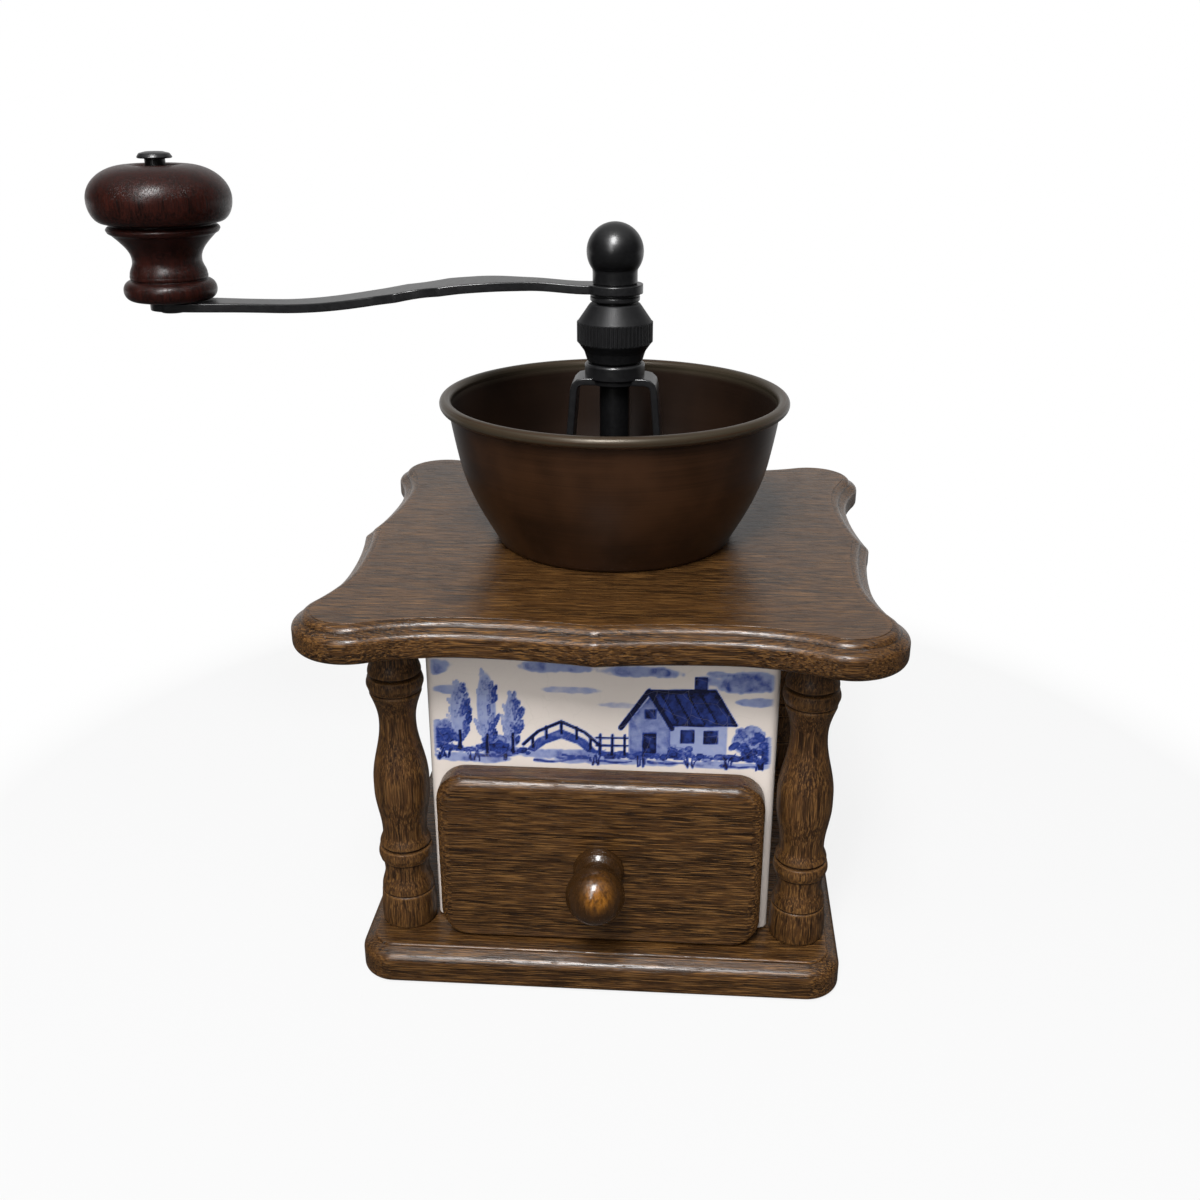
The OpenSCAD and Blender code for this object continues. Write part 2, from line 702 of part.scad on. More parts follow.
// Front view of the bent strap: top, two bends, two splayed legs and two feet
module strap_profile() {
    bend = 2.2;
    low = bracket_half + bracket_splay;
    floor_z = hopper_floor;
    for (s = [0, 1]) mirror([s, 0]) {
        translate([-0.01, bracket_top - bracket_t]) square([bracket_half - bend + 0.01, bracket_t]);
        intersection() {
            translate([bracket_half - bend, bracket_top - bend]) circle(r = bend, $fn = 32);
            translate([bracket_half - bend, bracket_top - bend]) square([bend, bend]);
        }
        polygon([[bracket_half, bracket_top - bend], [low, floor_z], [low - bracket_t, floor_z],
            [bracket_half - bracket_t, bracket_top - bend], [bracket_half - bend, bracket_top - bracket_t],
            [bracket_half - bend, bracket_top - bend + 0.01]]);
        translate([low - bracket_t, floor_z])
            square([bracket_screw_x + bracket_foot_r - low + bracket_t, bracket_t]);
    }
}

module bearing_bracket() {
    root_r = boss_r - 0.6;
    color(black_metal)
    difference() {
        union() {
            intersection() {
                translate([0, bracket_w / 2, 0]) rotate([90, 0, 0])
                    linear_extrude(height = bracket_w) strap_profile();
                translate([0, 0, hopper_floor - 1]) linear_extrude(height = bracket_h + 2) union() {
                    square([2 * bracket_screw_x, bracket_w], center = true);
                    for (x = [-bracket_screw_x, bracket_screw_x]) translate([x, 0])
                        circle(r = bracket_foot_r, $fn = 48);
                }
            }
            rotate_extrude($fn = 64)
                polygon([[0, bracket_top - bracket_t], [root_r, bracket_top - bracket_t],
                    [root_r, bracket_top - edge_chamfer], [boss_r, bracket_top - edge_chamfer],
                    [boss_r, boss_top - edge_chamfer], [boss_r - edge_chamfer, boss_top],
                    [spigot_r, boss_top], [spigot_r, boss_top + spigot_h], [0, boss_top + spigot_h]]);
        }
        translate([0, 0, bracket_top - bracket_t - 1])
            cylinder(r = sleeve_r + run_gap, h = boss_h + spigot_h + bracket_t + 2, $fn = 64);
        at_pair(bracket_screw_x) translate([0, 0, hopper_floor - 1])
            cylinder(r = bracket_screw_r + run_gap, h = bracket_t + 2, $fn = 48);
        translate([0, boss_r + 1, bracket_top + boss_h / 2]) rotate([90, 0, 0])
            cylinder(r = key_screw_r + run_gap, h = boss_r + 1, $fn = 32);
    }
}

module bracket_screws() {
    seat = hopper_floor + bracket_t;
    color(black_metal)
    at_pair(bracket_screw_x) translate([0, 0, seat])
        cap_screw(bracket_screw_r, bracket_head_r, bracket_head_h, seat - under_top + ring_flange_t);
}

// Grub screw whose tip stands in the keyway of the sleeve
module key_screw() {
    tip = sleeve_r - keyway_depth + 0.2;
    color(zinc)
    translate([0, boss_r - 0.3, bracket_top + boss_h / 2]) rotate([90, 0, 0])
        cylinder(r = key_screw_r, h = boss_r - 0.3 - tip, $fn = 32);
}

// ---- Adjuster ----

// Toothed outline with n points standing out
function ridged(n, r_out, r_in) =
    [for (i = [0:2 * n - 1]) (i % 2 == 0 ? r_out : r_in) * [cos(180 * i / n), sin(180 * i / n)]];

module adjusting_nut() {
    band_low = nut_bottom + nut_flare_h;
    band_top = band_low + nut_band_h;
    rim = nut_r - nut_knurl;
    color(black_metal)
    difference() {
        union() {
            rotate_extrude($fn = 96)
                polygon([[0, nut_bottom], [boss_r - 1, nut_bottom], [boss_r - 0.6, nut_bottom + edge_chamfer],
                    [boss_r + 0.2, nut_bottom + nut_flare_h * 0.57], [rim, band_low], [rim, band_top],
                    [nut_top_r + 0.4, nut_top - edge_chamfer], [nut_top_r, nut_top], [0, nut_top]]);
            translate([0, 0, band_low]) linear_extrude(height = nut_band_h)
                polygon(ridged(nut_ridges, nut_r, rim - 0.05));
        }
        translate([0, 0, nut_bottom - 1])
            cylinder(r = sleeve_r + run_gap, h = nut_top - nut_bottom + 2, $fn = 64);
        translate([0, 0, nut_bottom - 1])
            cylinder(r = spigot_r + run_gap, h = spigot_h + 1, $fn = 64);
    }
}

module bearing_sleeve() {
    low = bracket_top - bracket_t - slide_gap;
    color(black_metal)
    difference() {
        rotate_extrude($fn = 64)
            polygon([[0, low], [sleeve_r, low], [sleeve_r, head_bottom], [nut_top_r - 0.3, head_bottom],
                [nut_top_r, head_bottom + 0.3], [nut_top_r, head_bottom + sleeve_head_t],
                [0, head_bottom + sleeve_head_t]]);
        translate([0, 0, low - 1])
            cylinder(r = spindle_top_r + run_gap, h = head_bottom + sleeve_head_t - low + 2, $fn = 64);
        translate([-keyway_w / 2, sleeve_r - keyway_depth, low - 1])
            cube([keyway_w, keyway_depth + 1, boss_top - low + 1]);
    }
}

module thrust_washer() {
    color(zinc)
    translate([0, 0, washer_bottom])
    difference() {
        cylinder(r = washer_r, h = washer_t, $fn = 64);
        translate([0, 0, -1]) cylinder(r = spindle_top_r + run_gap, h = washer_t + 2, $fn = 64);
    }
}

// ---- Spindle and grinding set ----

spindle_low = ring_bottom - bridge_t - 1;

module spindle() {
    square_low = eye_bottom - slide_gap;
    color(cast_grey)
    union() {
        rotate_extrude($fn = 64)
            polygon([[0, spindle_low], [journal_r - edge_chamfer, spindle_low],
                [journal_r, spindle_low + edge_chamfer],
                [journal_r, collar_low], [burr_seat_r, collar_low], [burr_seat_r, cone_top],
                [spindle_r, cone_top], [spindle_r, shoulder_top], [spindle_top_r, shoulder_top],
                [spindle_top_r, square_low], [0, square_low]]);
        translate([-square_side / 2, -square_side / 2, square_low - 0.1])
            cube([square_side, square_side, eye_top - square_low]);
        rotate_extrude($fn = 48)
            polygon([[0, square_low], [stud_r, square_low], [stud_r, eye_top + stud_l - edge_chamfer],
                [stud_r - edge_chamfer, eye_top + stud_l], [0, eye_top + stud_l]]);
    }
}

// Ring or cone of helical teeth that narrows from r_low to r_high over the height h
module toothed(n, r_low, r_high, depth, h, twist, steps) {
    linear_extrude(height = h, twist = twist, scale = r_high / r_low, slices = steps, convexity = 6)
        polygon(ridged(n, r_low, r_low - depth));
}

module inner_burr() {
    feed_r = cone_r - cone_taper - tooth_depth - 0.2;
    feed_top_r = spindle_r + 2.6;
    feed_twist = 150;
    color(cast_grey)
    difference() {
        union() {
            translate([0, 0, cone_bottom])
                toothed(cone_teeth, cone_r, cone_r - cone_taper, tooth_depth, fine_h, tooth_twist, 4);
            translate([0, 0, fine_top - 0.5]) linear_extrude(height = feed_h + 0.5, twist = feed_twist,
                scale = feed_top_r / feed_r, slices = 12, convexity = 6)
                polygon(flute_outline(feed_flutes, feed_r, feed_r * 0.72));
        }
        translate([0, 0, cone_bottom - 1])
            cylinder(r = burr_seat_r + run_gap, h = fine_h + feed_h + 2, $fn = 64);
    }
}

// Saw-shaped outline of n spiral flutes: a slow rise to the crest, then a short fall
function flute_outline(n, r_out, r_in) =
    [for (k = [0:n - 1]) for (i = [0:4])
        let (a = 360 * (k + i / 5.6) / n, r = r_in + (r_out - r_in) * pow(i / 4, 1.3))
        r * [cos(a), sin(a)]];

module burr_ring() {
    fine_low_r = cone_r + burr_gap;
    fine_top_r = fine_low_r - cone_taper;
    throat_r = fine_top_r + tooth_depth + 0.3;
    crest_r = throat_r * 1.09;
    mouth_r = hopper_hole_r - 0.4;
    relief_r = fine_low_r + tooth_depth + 0.4;
    throat_twist = -70;
    feed_zone = ring_top - fine_top;
    color(cast_grey)
    difference() {
        union() {
            translate([0, 0, ring_bottom]) cylinder(r = ring_r, h = ring_drop - 1, $fn = 96);
            translate([0, 0, under_top - ring_flange_t])
                cylinder(r = ring_flange_r, h = ring_flange_t, $fn = 96);
            translate([0, 0, under_top - 1])
                cylinder(r = ring_neck_r, h = ring_top - under_top + 1, $fn = 96);
        }
        translate([0, 0, ring_bottom - 1])
            cylinder(r = relief_r, h = cone_bottom - ring_bottom + 1, $fn = 96);
        translate([0, 0, cone_bottom - 0.2])
            toothed(ring_teeth, fine_low_r + tooth_depth, fine_top_r + tooth_depth, tooth_depth,
                fine_h + 0.4, -tooth_twist, 4);
        translate([0, 0, fine_top]) linear_extrude(height = feed_zone + 0.5, twist = throat_twist,
            scale = mouth_r / crest_r, slices = 8, convexity = 6)
            polygon(flute_outline(ring_flutes, crest_r, throat_r));
        at_pair(bracket_screw_x) translate([0, 0, under_top - ring_flange_t - 1])
            cylinder(r = bracket_screw_r + run_gap, h = ring_flange_t + 2, $fn = 48);
        at_pair(bridge_screw_x) translate([0, 0, ring_bottom - 1])
            cylinder(r = bridge_screw_r + run_gap, h = bridge_screw_grip + 1.5, $fn = 48);
    }
}

module burr_collar() {
    color(cast_grey)
    translate([0, 0, collar_low])
    difference() {
        cylinder(r = collar_r, h = collar_h, $fn = 64);
        translate([0, 0, -1]) cylinder(r = burr_seat_r + run_gap, h = collar_h + 2, $fn = 64);
    }
}

module lower_bearing_bridge() {
    end_x = bridge_screw_x;
    color(black_metal)
    translate([0, 0, ring_bottom - bridge_t])
    difference() {
        linear_extrude(height = bridge_t) difference() {
            union() {
                square([2 * end_x, bridge_w * 0.6], center = true);
                circle(r = bridge_w / 2 + 1.5, $fn = 64);
                for (x = [-end_x, end_x]) translate([x, 0]) circle(r = bridge_w * 0.3, $fn = 48);
            }
            circle(r = journal_r + run_gap, $fn = 64);
            for (x = [-end_x, end_x]) translate([x, 0])
                circle(r = bridge_screw_r + run_gap, $fn = 48);
        }
    }
}

module bridge_screws() {
    color(zinc)
    at_pair(bridge_screw_x) translate([0, 0, ring_bottom - bridge_t]) mirror([0, 0, 1])
        cap_screw(bridge_screw_r, bridge_head_r, bridge_head_h, bridge_t + bridge_screw_grip);
}

// ---- Crank ----

// Half width of the arm as [distance from the spindle axis, half width]
arm_cusp_in = crank_l * 0.38;
arm_cusp_out = arm_cusp_in + arm_cusp_gap;

function arm_edge() = concat(
    ease_width([6, arm_neck + 0.4], [16, arm_neck], 3),
    ease_width([17, arm_neck], [arm_cusp_in - 6, arm_cusp - 1.1], 8),
    [[arm_cusp_in, arm_cusp]],
    [for (i = [1:6]) let (t = i / 7)
        [arm_cusp_in + arm_cusp_gap * t, arm_cusp - arm_scallop * sin(180 * t)]],
    [[arm_cusp_out, arm_cusp]],
    ease_width([arm_cusp_out + 6, arm_cusp - 1.4], [arm_drop_to + 4, arm_tail], 9),
    ease_width([arm_drop_to + 6, arm_tail], [crank_l - 3, arm_end_r - 0.2], 4)
);

function ease_width(a, b, n) =
    [for (i = [0:n]) let (t = i / n)
        [a[0] + (b[0] - a[0]) * t, a[1] + (b[1] - a[1]) * (1 - cos(180 * t)) / 2]];

// Height of the underside of the arm above the eye's underside, at distance d from the spindle axis
arm_bow_at = arm_level_l * 0.8;
arm_drop_from = arm_level_l;
arm_drop_to = crank_l - arm_level_l;
function arm_level(d) =
    let (
        drop = min(1, max(0, (d - arm_drop_from) / (arm_drop_to - arm_drop_from))),
        rise = min(1, max(0, (d - arm_eye_r) / (arm_bow_at - arm_eye_r)))
    )
    arm_bow * (1 - cos(180 * rise)) / 2 - (arm_drop + arm_bow) * (1 - cos(180 * drop)) / 2;

module crank_arm() {
    edge = arm_edge();
    steps = 24;
    reach = crank_l + arm_end_r + 2;
    under = [for (i = [0:steps]) let (d = arm_eye_r + (arm_drop_to - arm_eye_r) * i / steps)
        [-d, arm_level(d)]];
    color(black_metal)
    translate([0, 0, eye_bottom])
    difference() {
        intersection() {
            translate([0, 0, -arm_drop - 1]) linear_extrude(height = arm_drop + arm_bow + arm_t + 2) union() {
                polygon(concat([for (p = edge) [-p[0], p[1]]],
                    [for (i = [len(edge) - 1:-1:0]) [-edge[i][0], -edge[i][1]]]));
                circle(r = arm_eye_r, $fn = 64);
                translate([-crank_l, 0]) circle(r = arm_end_r, $fn = 64);
            }
            translate([0, arm_eye_r + 6, 0]) rotate([90, 0, 0]) linear_extrude(height = 2 * arm_eye_r + 12)
                polygon(concat([[arm_eye_r + 2, 0]], under,
                    [[-reach, -arm_drop], [-reach, -arm_drop + arm_t]],
                    [for (i = [len(under) - 1:-1:0]) under[i] + [0, arm_t]], [[arm_eye_r + 2, arm_t]]));
        }
        translate([-square_side / 2 - run_gap, -square_side / 2 - run_gap, -1])
            cube([square_side + 2 * run_gap, square_side + 2 * run_gap, arm_t + 2]);
        translate([-crank_l, 0, -arm_drop - 1])
            cylinder(r = rivet_r + run_gap, h = arm_t + 2, $fn = 64);
    }
}

module ball_nut() {
    neck_top = ball_up - ball_r * 0.62;
    start = asin(ball_neck_r * 1.02 / ball_r);
    color(black_metal)
    translate([0, 0, eye_top])
    difference() {
        rotate_extrude($fn = 64)
            polygon(concat([[0, 0], [ball_neck_r - 0.3, 0]],
                [[ball_neck_r, 0.3], [ball_neck_r, neck_top - 0.6]],
                [for (i = [0:14]) let (a = start + (180 - start) * i / 14)
                    [i == 14 ? 0 : ball_r * sin(a), ball_up - ball_r * cos(a)]]));
        translate([0, 0, -1]) cylinder(r = stud_r + run_gap, h = stud_l + 1 + slide_gap, $fn = 48);
    }
}

// Turned profile of the crank knob as [radius, height above its lower face]
function knob_profile() =
    let (
        bead = 2.4,
        bead_mid = 2.8,
        disc_low = 21.1,
        disc_mid = 27.3,
        top_flat_r = 7.6
    )
    concat(
        [[0, 0], [knob_bead_r - 2.6, 0]],
        [for (i = [1:7]) let (a = -75 + 150 * i / 8)
            [knob_bead_r - bead + bead * cos(a), bead_mid + 2.75 * sin(a)]],
        [[knob_bead_r - bead, 5.7], [knob_bead_r - 2.1, 6.1], [knob_bead_r - 2.1, 6.7]],
        ease([knob_neck_r + 1.1, 7], [knob_neck_r, 10.8], 4),
        flare([knob_neck_r + 0.01, 11.2], [knob_ring_r - 1.9, 17.6], 7),
        [[knob_ring_r - 1.6, 18], [knob_ring_r, 20.4], [knob_ring_r, 20.8], [knob_ring_r - 0.6, disc_low]],
        [for (i = [0:6]) let (a = 90 - 15 * i)
            [knob_ring_r + (knob_r - knob_ring_r) * cos(a), disc_mid - (disc_mid - disc_low - 0.1) * sin(a)]],
        [for (i = [1:9]) let (a = 10 * i)
            [top_flat_r + (knob_r - top_flat_r) * cos(a), disc_mid + (knob_h - disc_mid) * sin(a)]],
        [[top_flat_r - 1.2, knob_h - 0.3], [top_flat_r - 1.8, knob_h - 1], [0, knob_h - 1]]
    );

module crank_knob() {
    color(knob_stain)
    translate([-crank_l, 0, knob_bottom])
    difference() {
        rotate_extrude($fn = 96) polygon(knob_profile());
        translate([0, 0, -1]) cylinder(r = rivet_r + run_gap, h = knob_h + 2, $fn = 64);
    }
}

module knob_rivet() {
    foot_r = rivet_r + 1.2;
    foot_h = 0.8;
    color(zinc)
    translate([-crank_l, 0, 0])
    rotate_extrude($fn = 64)
        polygon([[0, arm_low - foot_h], [foot_r - 0.6, arm_low - foot_h],
            [foot_r, arm_low], [rivet_r, arm_low],
            [rivet_r, rivet_head], [rivet_head_r - 0.2, rivet_head], [rivet_head_r, rivet_head + 0.3],
            [rivet_head_r * 0.86, rivet_head + rivet_head_h * 0.72],
            [rivet_head_r * 0.5, rivet_head + rivet_head_h * 0.95], [0, rivet_head + rivet_head_h]]);
}

base_plate();
top_plate();
post_front_left();
post_front_right();
post_rear_left();
post_rear_right();
base_screws();
ceramic_body();
drawer_guide_left();
drawer_guide_right();
hopper_bowl();
bearing_bracket();
bracket_screws();
key_screw();
burr_ring();
lower_bearing_bridge();
bridge_screws();
bearing_sleeve();
adjusting_nut();
spindle();
inner_burr();
burr_collar();
thrust_washer();
crank_arm();
ball_nut();
knob_rivet();
crank_knob();
drawer_front();
drawer_side_left();
drawer_side_right();
drawer_back();
drawer_bottom();
drawer_knob();
drawer_knob_screw();
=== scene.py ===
"""Dresses the hand coffee mill: stained wood, painted glaze, copper-brown hopper and black crank."""

import math

import bmesh
import bpy
import numpy as np
from bpy.props import FloatProperty, FloatVectorProperty, IntProperty, PointerProperty
from mathutils import Matrix, Vector


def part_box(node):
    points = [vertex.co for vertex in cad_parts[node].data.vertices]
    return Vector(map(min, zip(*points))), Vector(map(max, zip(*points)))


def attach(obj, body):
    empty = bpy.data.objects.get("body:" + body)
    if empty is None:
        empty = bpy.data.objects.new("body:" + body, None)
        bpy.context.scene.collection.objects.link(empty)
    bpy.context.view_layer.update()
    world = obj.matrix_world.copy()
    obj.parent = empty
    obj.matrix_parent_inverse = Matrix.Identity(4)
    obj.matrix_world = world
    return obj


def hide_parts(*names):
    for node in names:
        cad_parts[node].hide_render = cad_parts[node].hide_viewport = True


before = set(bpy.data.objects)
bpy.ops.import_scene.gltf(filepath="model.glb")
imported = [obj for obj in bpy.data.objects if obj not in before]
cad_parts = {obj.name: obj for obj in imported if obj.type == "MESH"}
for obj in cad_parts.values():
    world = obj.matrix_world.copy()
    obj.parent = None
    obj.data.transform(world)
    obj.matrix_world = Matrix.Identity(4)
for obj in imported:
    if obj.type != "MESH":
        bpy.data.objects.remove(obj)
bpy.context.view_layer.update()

bl_info = {
    "name": "Hand Coffee Mill",
    "version": (1, 0, 0),
    "blender": (4, 5, 0),
    "location": "3D View > Sidebar > Coffee Mill",
    "description": "Builds the finished look of a hand coffee mill over its mechanical model",
    "category": "Add Mesh",
}

MM = 0.001


# ---- Sizes and colours a user may change ----


def tint(name, text, value):
    """Colour property written as sRGB 0 to 255 and kept as linear light."""
    linear = [(c / 255 / 12.92) if c <= 10 else ((c / 255 + 0.055) / 1.055) ** 2.4 for c in value]
    return FloatVectorProperty(name=name, description=text, subtype="COLOR", min=0, max=1, default=linear)


def length(name, text, value):
    """Length property given in millimetres and kept in metres."""
    kind = {"subtype": "DISTANCE", "unit": "LENGTH"}
    return FloatProperty(name=name, description=text, min=0, default=value * MM, **kind)


def number(name, text, value, least, most):
    return IntProperty(name=name, description=text, default=value, min=least, max=most)


class MillForms(bpy.types.PropertyGroup):
    """Sizes of the turned, moulded and bent forms"""

    turns: number("Turned Segments", "Segments round a turned piece", 96, 32, 160)
    edge: length("Wood Edge", "Softness of the sharp edges of turned wood", 0.35)
    metal_edge: length("Metal Edge", "Softness of the sharp edges of metal", 0.22)
    board_nose: length("Base Nose", "Lower round of the base board's edge", 1.8)
    board_mould: length("Base Moulding", "Width of the base board's moulded edge", 3.6)
    top_nose: length("Top Nose", "Lower round of the top board's edge", 2.3)
    top_mould: length("Top Moulding", "Width of the top board's moulded edge", 5.0)
    ear: length("Top Ear", "Radius of the round ears of the top board", 15.4)
    foot: length("Post Foot", "Radius of a post at its foot", 7.95)
    ring: length("Post Ring", "Radius of the rings of a post", 7.75)
    belly: length("Post Belly", "Radius of the belly of a post", 7.8)
    neck: length("Post Neck", "Radius of the slender neck of a post", 5.1)
    waist: length("Post Waist", "Radius of the short waists of a post", 6.25)
    drawer_round: length("Drawer Round", "Rounding of the drawer front's face edge", 3.2)
    bead: length("Hopper Bead", "Radius of the rolled rim of the hopper", 1.7)
    strap: length("Strap Width", "Width of the bearing bracket's strap", 12.0)
    ridges: number("Knurl Ridges", "Ridges round the adjusting nut", 56, 24, 90)


class MillFinish(bpy.types.PropertyGroup):
    """Colours of the finishes"""

    stain_deep: tint("Stain Deep", "Dark tone of the stained beech", (25, 14, 6))
    stain_mid: tint("Stain Middle", "Middle tone of the stained beech", (64, 41, 19))
    stain_light: tint("Stain Light", "Golden fibres of the stained beech", (106, 74, 38))
    stain_worn: tint("Stain Worn", "Rubbed edges of the stained beech", (114, 76, 40))
    knob_deep: tint("Knob Deep", "Dark tone of the crank knob", (13, 5, 4))
    knob_mid: tint("Knob Middle", "Middle tone of the crank knob", (40, 14, 9))
    beech: tint("Plain Beech", "Bare wood of the drawer box", (188, 150, 108))
    copper: tint("Hopper Brown", "Lacquered copper-brown of the hopper", (52, 32, 18))
    rim: tint("Hopper Rim", "Worn olive brown of the hopper's rim", (54, 47, 36))
    black: tint("Black Metal", "Burnished black of the crank and bracket", (9, 9, 10))
    worn_black: tint("Worn Black", "Handled black of the adjusting nut", (17, 17, 18))
    iron: tint("Cast Iron", "Grey of the burrs", (88, 86, 84))
    zinc: tint("Plated Steel", "Grey of the screws", (150, 150, 146))
    glaze: tint("Glaze White", "White of the glazed body", (200, 190, 182))
    cobalt: tint("Cobalt", "Deepest blue of the painting", (13, 18, 50))
    cobalt_mid: tint("Cobalt Middle", "Middle blue of the painting", (36, 54, 122))
    cobalt_wash: tint("Cobalt Wash", "Thin wash of the painting", (128, 137, 170))


def forms():
    return bpy.context.scene.mill_forms


def finish():
    return bpy.context.scene.mill_finish


# ---- Node trees written as expressions ----


class Term:
    """A socket whose arithmetic adds Math nodes to its tree"""

    def __init__(self, web, socket):
        self.web = web
        self.socket = socket

    def __add__(self, other):
        return self.web.maths("ADD", self, other)

    def __sub__(self, other):
        return self.web.maths("SUBTRACT", self, other)

    def __rsub__(self, other):
        return self.web.maths("SUBTRACT", other, self)

    def __mul__(self, other):
        return self.web.maths("MULTIPLY", self, other)

    def __pow__(self, other):
        return self.web.maths("POWER", self, other)

    __radd__, __rmul__ = __add__, __mul__


class Web:
    """A node tree of a material, the world or Geometry Nodes"""

    def __init__(self, tree):
        self.tree = tree

    def add(self, kind, setup=None, **inputs):
        """Adds any node: its settings, then the values or links of its sockets, by name or as _index."""
        node = self.tree.nodes.new(kind)
        for name, value in (setup or {}).items():
            setattr(node, name, value)
        for name, value in inputs.items():
            self.feed(node.inputs[int(name[1:]) if name[0] == "_" else name.replace("_", " ")], value)
        return node

    def feed(self, socket, value):
        value = getattr(value, "socket", value)
        if isinstance(value, bpy.types.NodeSocket):
            self.tree.links.new(value, socket)
        else:
            socket.default_value = (*value, 1) if socket.type == "RGBA" else value

    def out(self, node, name=0):
        return Term(self, node.outputs[name])

    def maths(self, operation, *values, kind="ShaderNodeMath"):
        inputs = {f"_{i}": value for i, value in enumerate(values)}
        return self.out(self.add(kind, {"operation": operation}, **inputs))

    def vector(self, operation, *values):
        return self.maths(operation, *values, kind="ShaderNodeVectorMath")

    def most(self, *values):
        return self.maths("MAXIMUM", *values)

    def place(self):
        """Object coordinates in millimetres."""
        where = self.out(self.add("ShaderNodeTexCoord"), "Object")
        return self.vector("MULTIPLY", where, (1 / MM, 1 / MM, 1 / MM))

    def split(self, vector):
        node = self.add("ShaderNodeSeparateXYZ", Vector=vector)
        return [self.out(node, i) for i in range(3)]

    def join(self, x, y, z):
        return self.out(self.add("ShaderNodeCombineXYZ", X=x, Y=y, Z=z))

    def noise(self, vector, scale, detail=2.0, rough=0.5):
        """Soft noise of about 0 to 1; scale is a number or one for each axis."""
        stretched = self.vector("MULTIPLY", vector, tuple(np.broadcast_to(scale, 3)))
        grainy = self.add("ShaderNodeTexNoise", Vector=stretched, Scale=1.0, Detail=detail, Roughness=rough)
        return self.out(grainy)

    def between(self, value, low, high):
        """0 below low, 1 above high, and smooth between them."""
        setup = {"interpolation_type": "SMOOTHSTEP"}
        return self.out(self.add("ShaderNodeMapRange", setup, _0=value, _1=low, _2=high, _3=0.0, _4=1.0))

    def blend(self, share, first, second):
        """Colour mixed from first to second."""
        setup = {"data_type": "RGBA", "clamp_factor": True}
        return self.out(self.add("ShaderNodeMix", setup, _0=share, _6=first, _7=second), 2)

    def attribute(self, name):
        return self.out(self.add("ShaderNodeAttribute", {"attribute_name": name}), "Fac")

    def rays(self):
        """Masks of the camera's rays and of those seen by reflection or through glass."""
        path = self.add("ShaderNodeLightPath")
        kinds = ("Camera", "Glossy", "Transmission")
        camera, glossy, through = (self.out(path, f"Is {kind} Ray") for kind in kinds)
        return camera, self.most(glossy, through)

    def mix(self, share, first, second):
        return self.add("ShaderNodeMixShader", _0=share, _1=first.outputs[0], _2=second.outputs[0])

    def surface(self, colour, rough, relief, strength, depth, **others):
        """Principled surface with a relief of that depth in millimetres."""
        bump = self.add("ShaderNodeBump", Height=relief, Strength=strength, Distance=depth * MM)
        inputs = {"Base_Color": colour, "Roughness": rough, "Normal": self.out(bump), **others}
        return self.add("ShaderNodeBsdfPrincipled", **inputs)


def made_material(name, recipe, *args):
    """The mill's material of that name, built by recipe(web, *args) the first time it is asked for."""
    name = f"mill_{name}"
    if name not in bpy.data.materials:
        material = bpy.data.materials.new(name)
        material.use_nodes = True
        material.node_tree.nodes.clear()
        web = Web(material.node_tree)
        web.add("ShaderNodeOutputMaterial", Surface=recipe(web, *args).outputs[0])
    return bpy.data.materials[name]


# ---- Finishes ----


def shade(colour, k=1.0):
    """The colour made k times as bright."""
    return tuple(min(1, c * k) for c in colour)


def wood(web, tones, grain, gloss, rough, wear_and_sheen):
    """Open-grained wood; grain is the axis that the fibres follow, 0 to 2. Thick varnish hides its pores."""
    deep, mid, light, rubbed = tones
    open_pores = 0.55 if rough > 0.2 else 0.1
    place = web.place()

    def streaks(run, across, detail=2.0, ragged=0.5, where=place):
        """Noise stretched along the fibres: its pace per millimetre along and across them."""
        return web.noise(where, [run if axis == grain else across for axis in range(3)], detail, ragged)

    cloud = streaks(0.012, 0.04)
    bands = streaks(0.012, 0.34, 3, 0.6)
    fibre = streaks(0.06, 2.0, 4, 0.7)
    threads = streaks(0.09, 3.2, 3, 0.6, web.vector("ADD", place, (31, 17, 53)))
    pores = web.between(streaks(0.22, 4.4), 0.56, 0.64)
    ridge = web.attribute("ridge")
    colour = web.blend(web.between(bands * 0.35 + fibre * 0.65, 0.4, 0.62), deep, mid)
    colour = web.blend(web.between(threads, 0.5, 0.62) * (0.3 + cloud * 0.9), colour, light)
    if wear_and_sheen:
        specks = web.between(streaks(0.3, 1.0, 3, 0.6), 0.25, 0.7)
        # Fourth tone where the ridge layer is high: rubbed wear on edges, and on the drawer knob a painted
        # amber sheen written into that layer.
        colour = web.blend(web.between(ridge, 0.12, 0.7) * wear_and_sheen * specks, colour, rubbed)
    colour = web.blend(pores * open_pores, colour, shade(deep, 0.4))
    # Painted shade: darker where the ridge layer is below zero, in grooves and hollows and along the top
    # board's lower edge.
    colour = web.blend(web.between(0 - ridge, 0.08, 0.5) * 0.6, colour, shade(deep, 0.35))
    uneven = (fibre - 0.5) * 0.16 + pores * 0.1
    relief = fibre * 0.5 - pores + threads * 0.5
    return web.surface(colour, rough + uneven, relief, min(0.4, rough * 1.4), 0.1, Specular_IOR_Level=gloss)


def stained_beech(grain):
    """Varnished boards and drawer front."""
    look = finish()
    tones = [shade(tone) for tone in (look.stain_deep, look.stain_mid, look.stain_light, look.stain_worn)]
    return made_material(f"stained_beech_{'xyz'[grain]}", wood, tones, grain, 0.3, 0.28, 0.2)


def post_beech():
    """Posts, whose stain lies dull and rough."""
    light = shade(finish().stain_light, 0.9)
    tones = (shade(finish().stain_deep, 1.2), shade(finish().stain_mid, 1.2), light, light)
    return made_material("stained_beech_post", wood, tones, 2, 0.2, 0.42, 0.5)


def amber_beech():
    """Drawer knob, with a painted amber sheen on the upper half of its front."""
    deep, mid = (shade(finish().stain_mid, k) for k in (0.35, 0.55))
    amber = tuple(c * k for c, k in zip(finish().stain_worn, (1.0, 0.9, 0.4)))
    return made_material("stained_beech_amber", wood, (deep, mid, mid, amber), 2, 0.4, 0.16, 1.3)


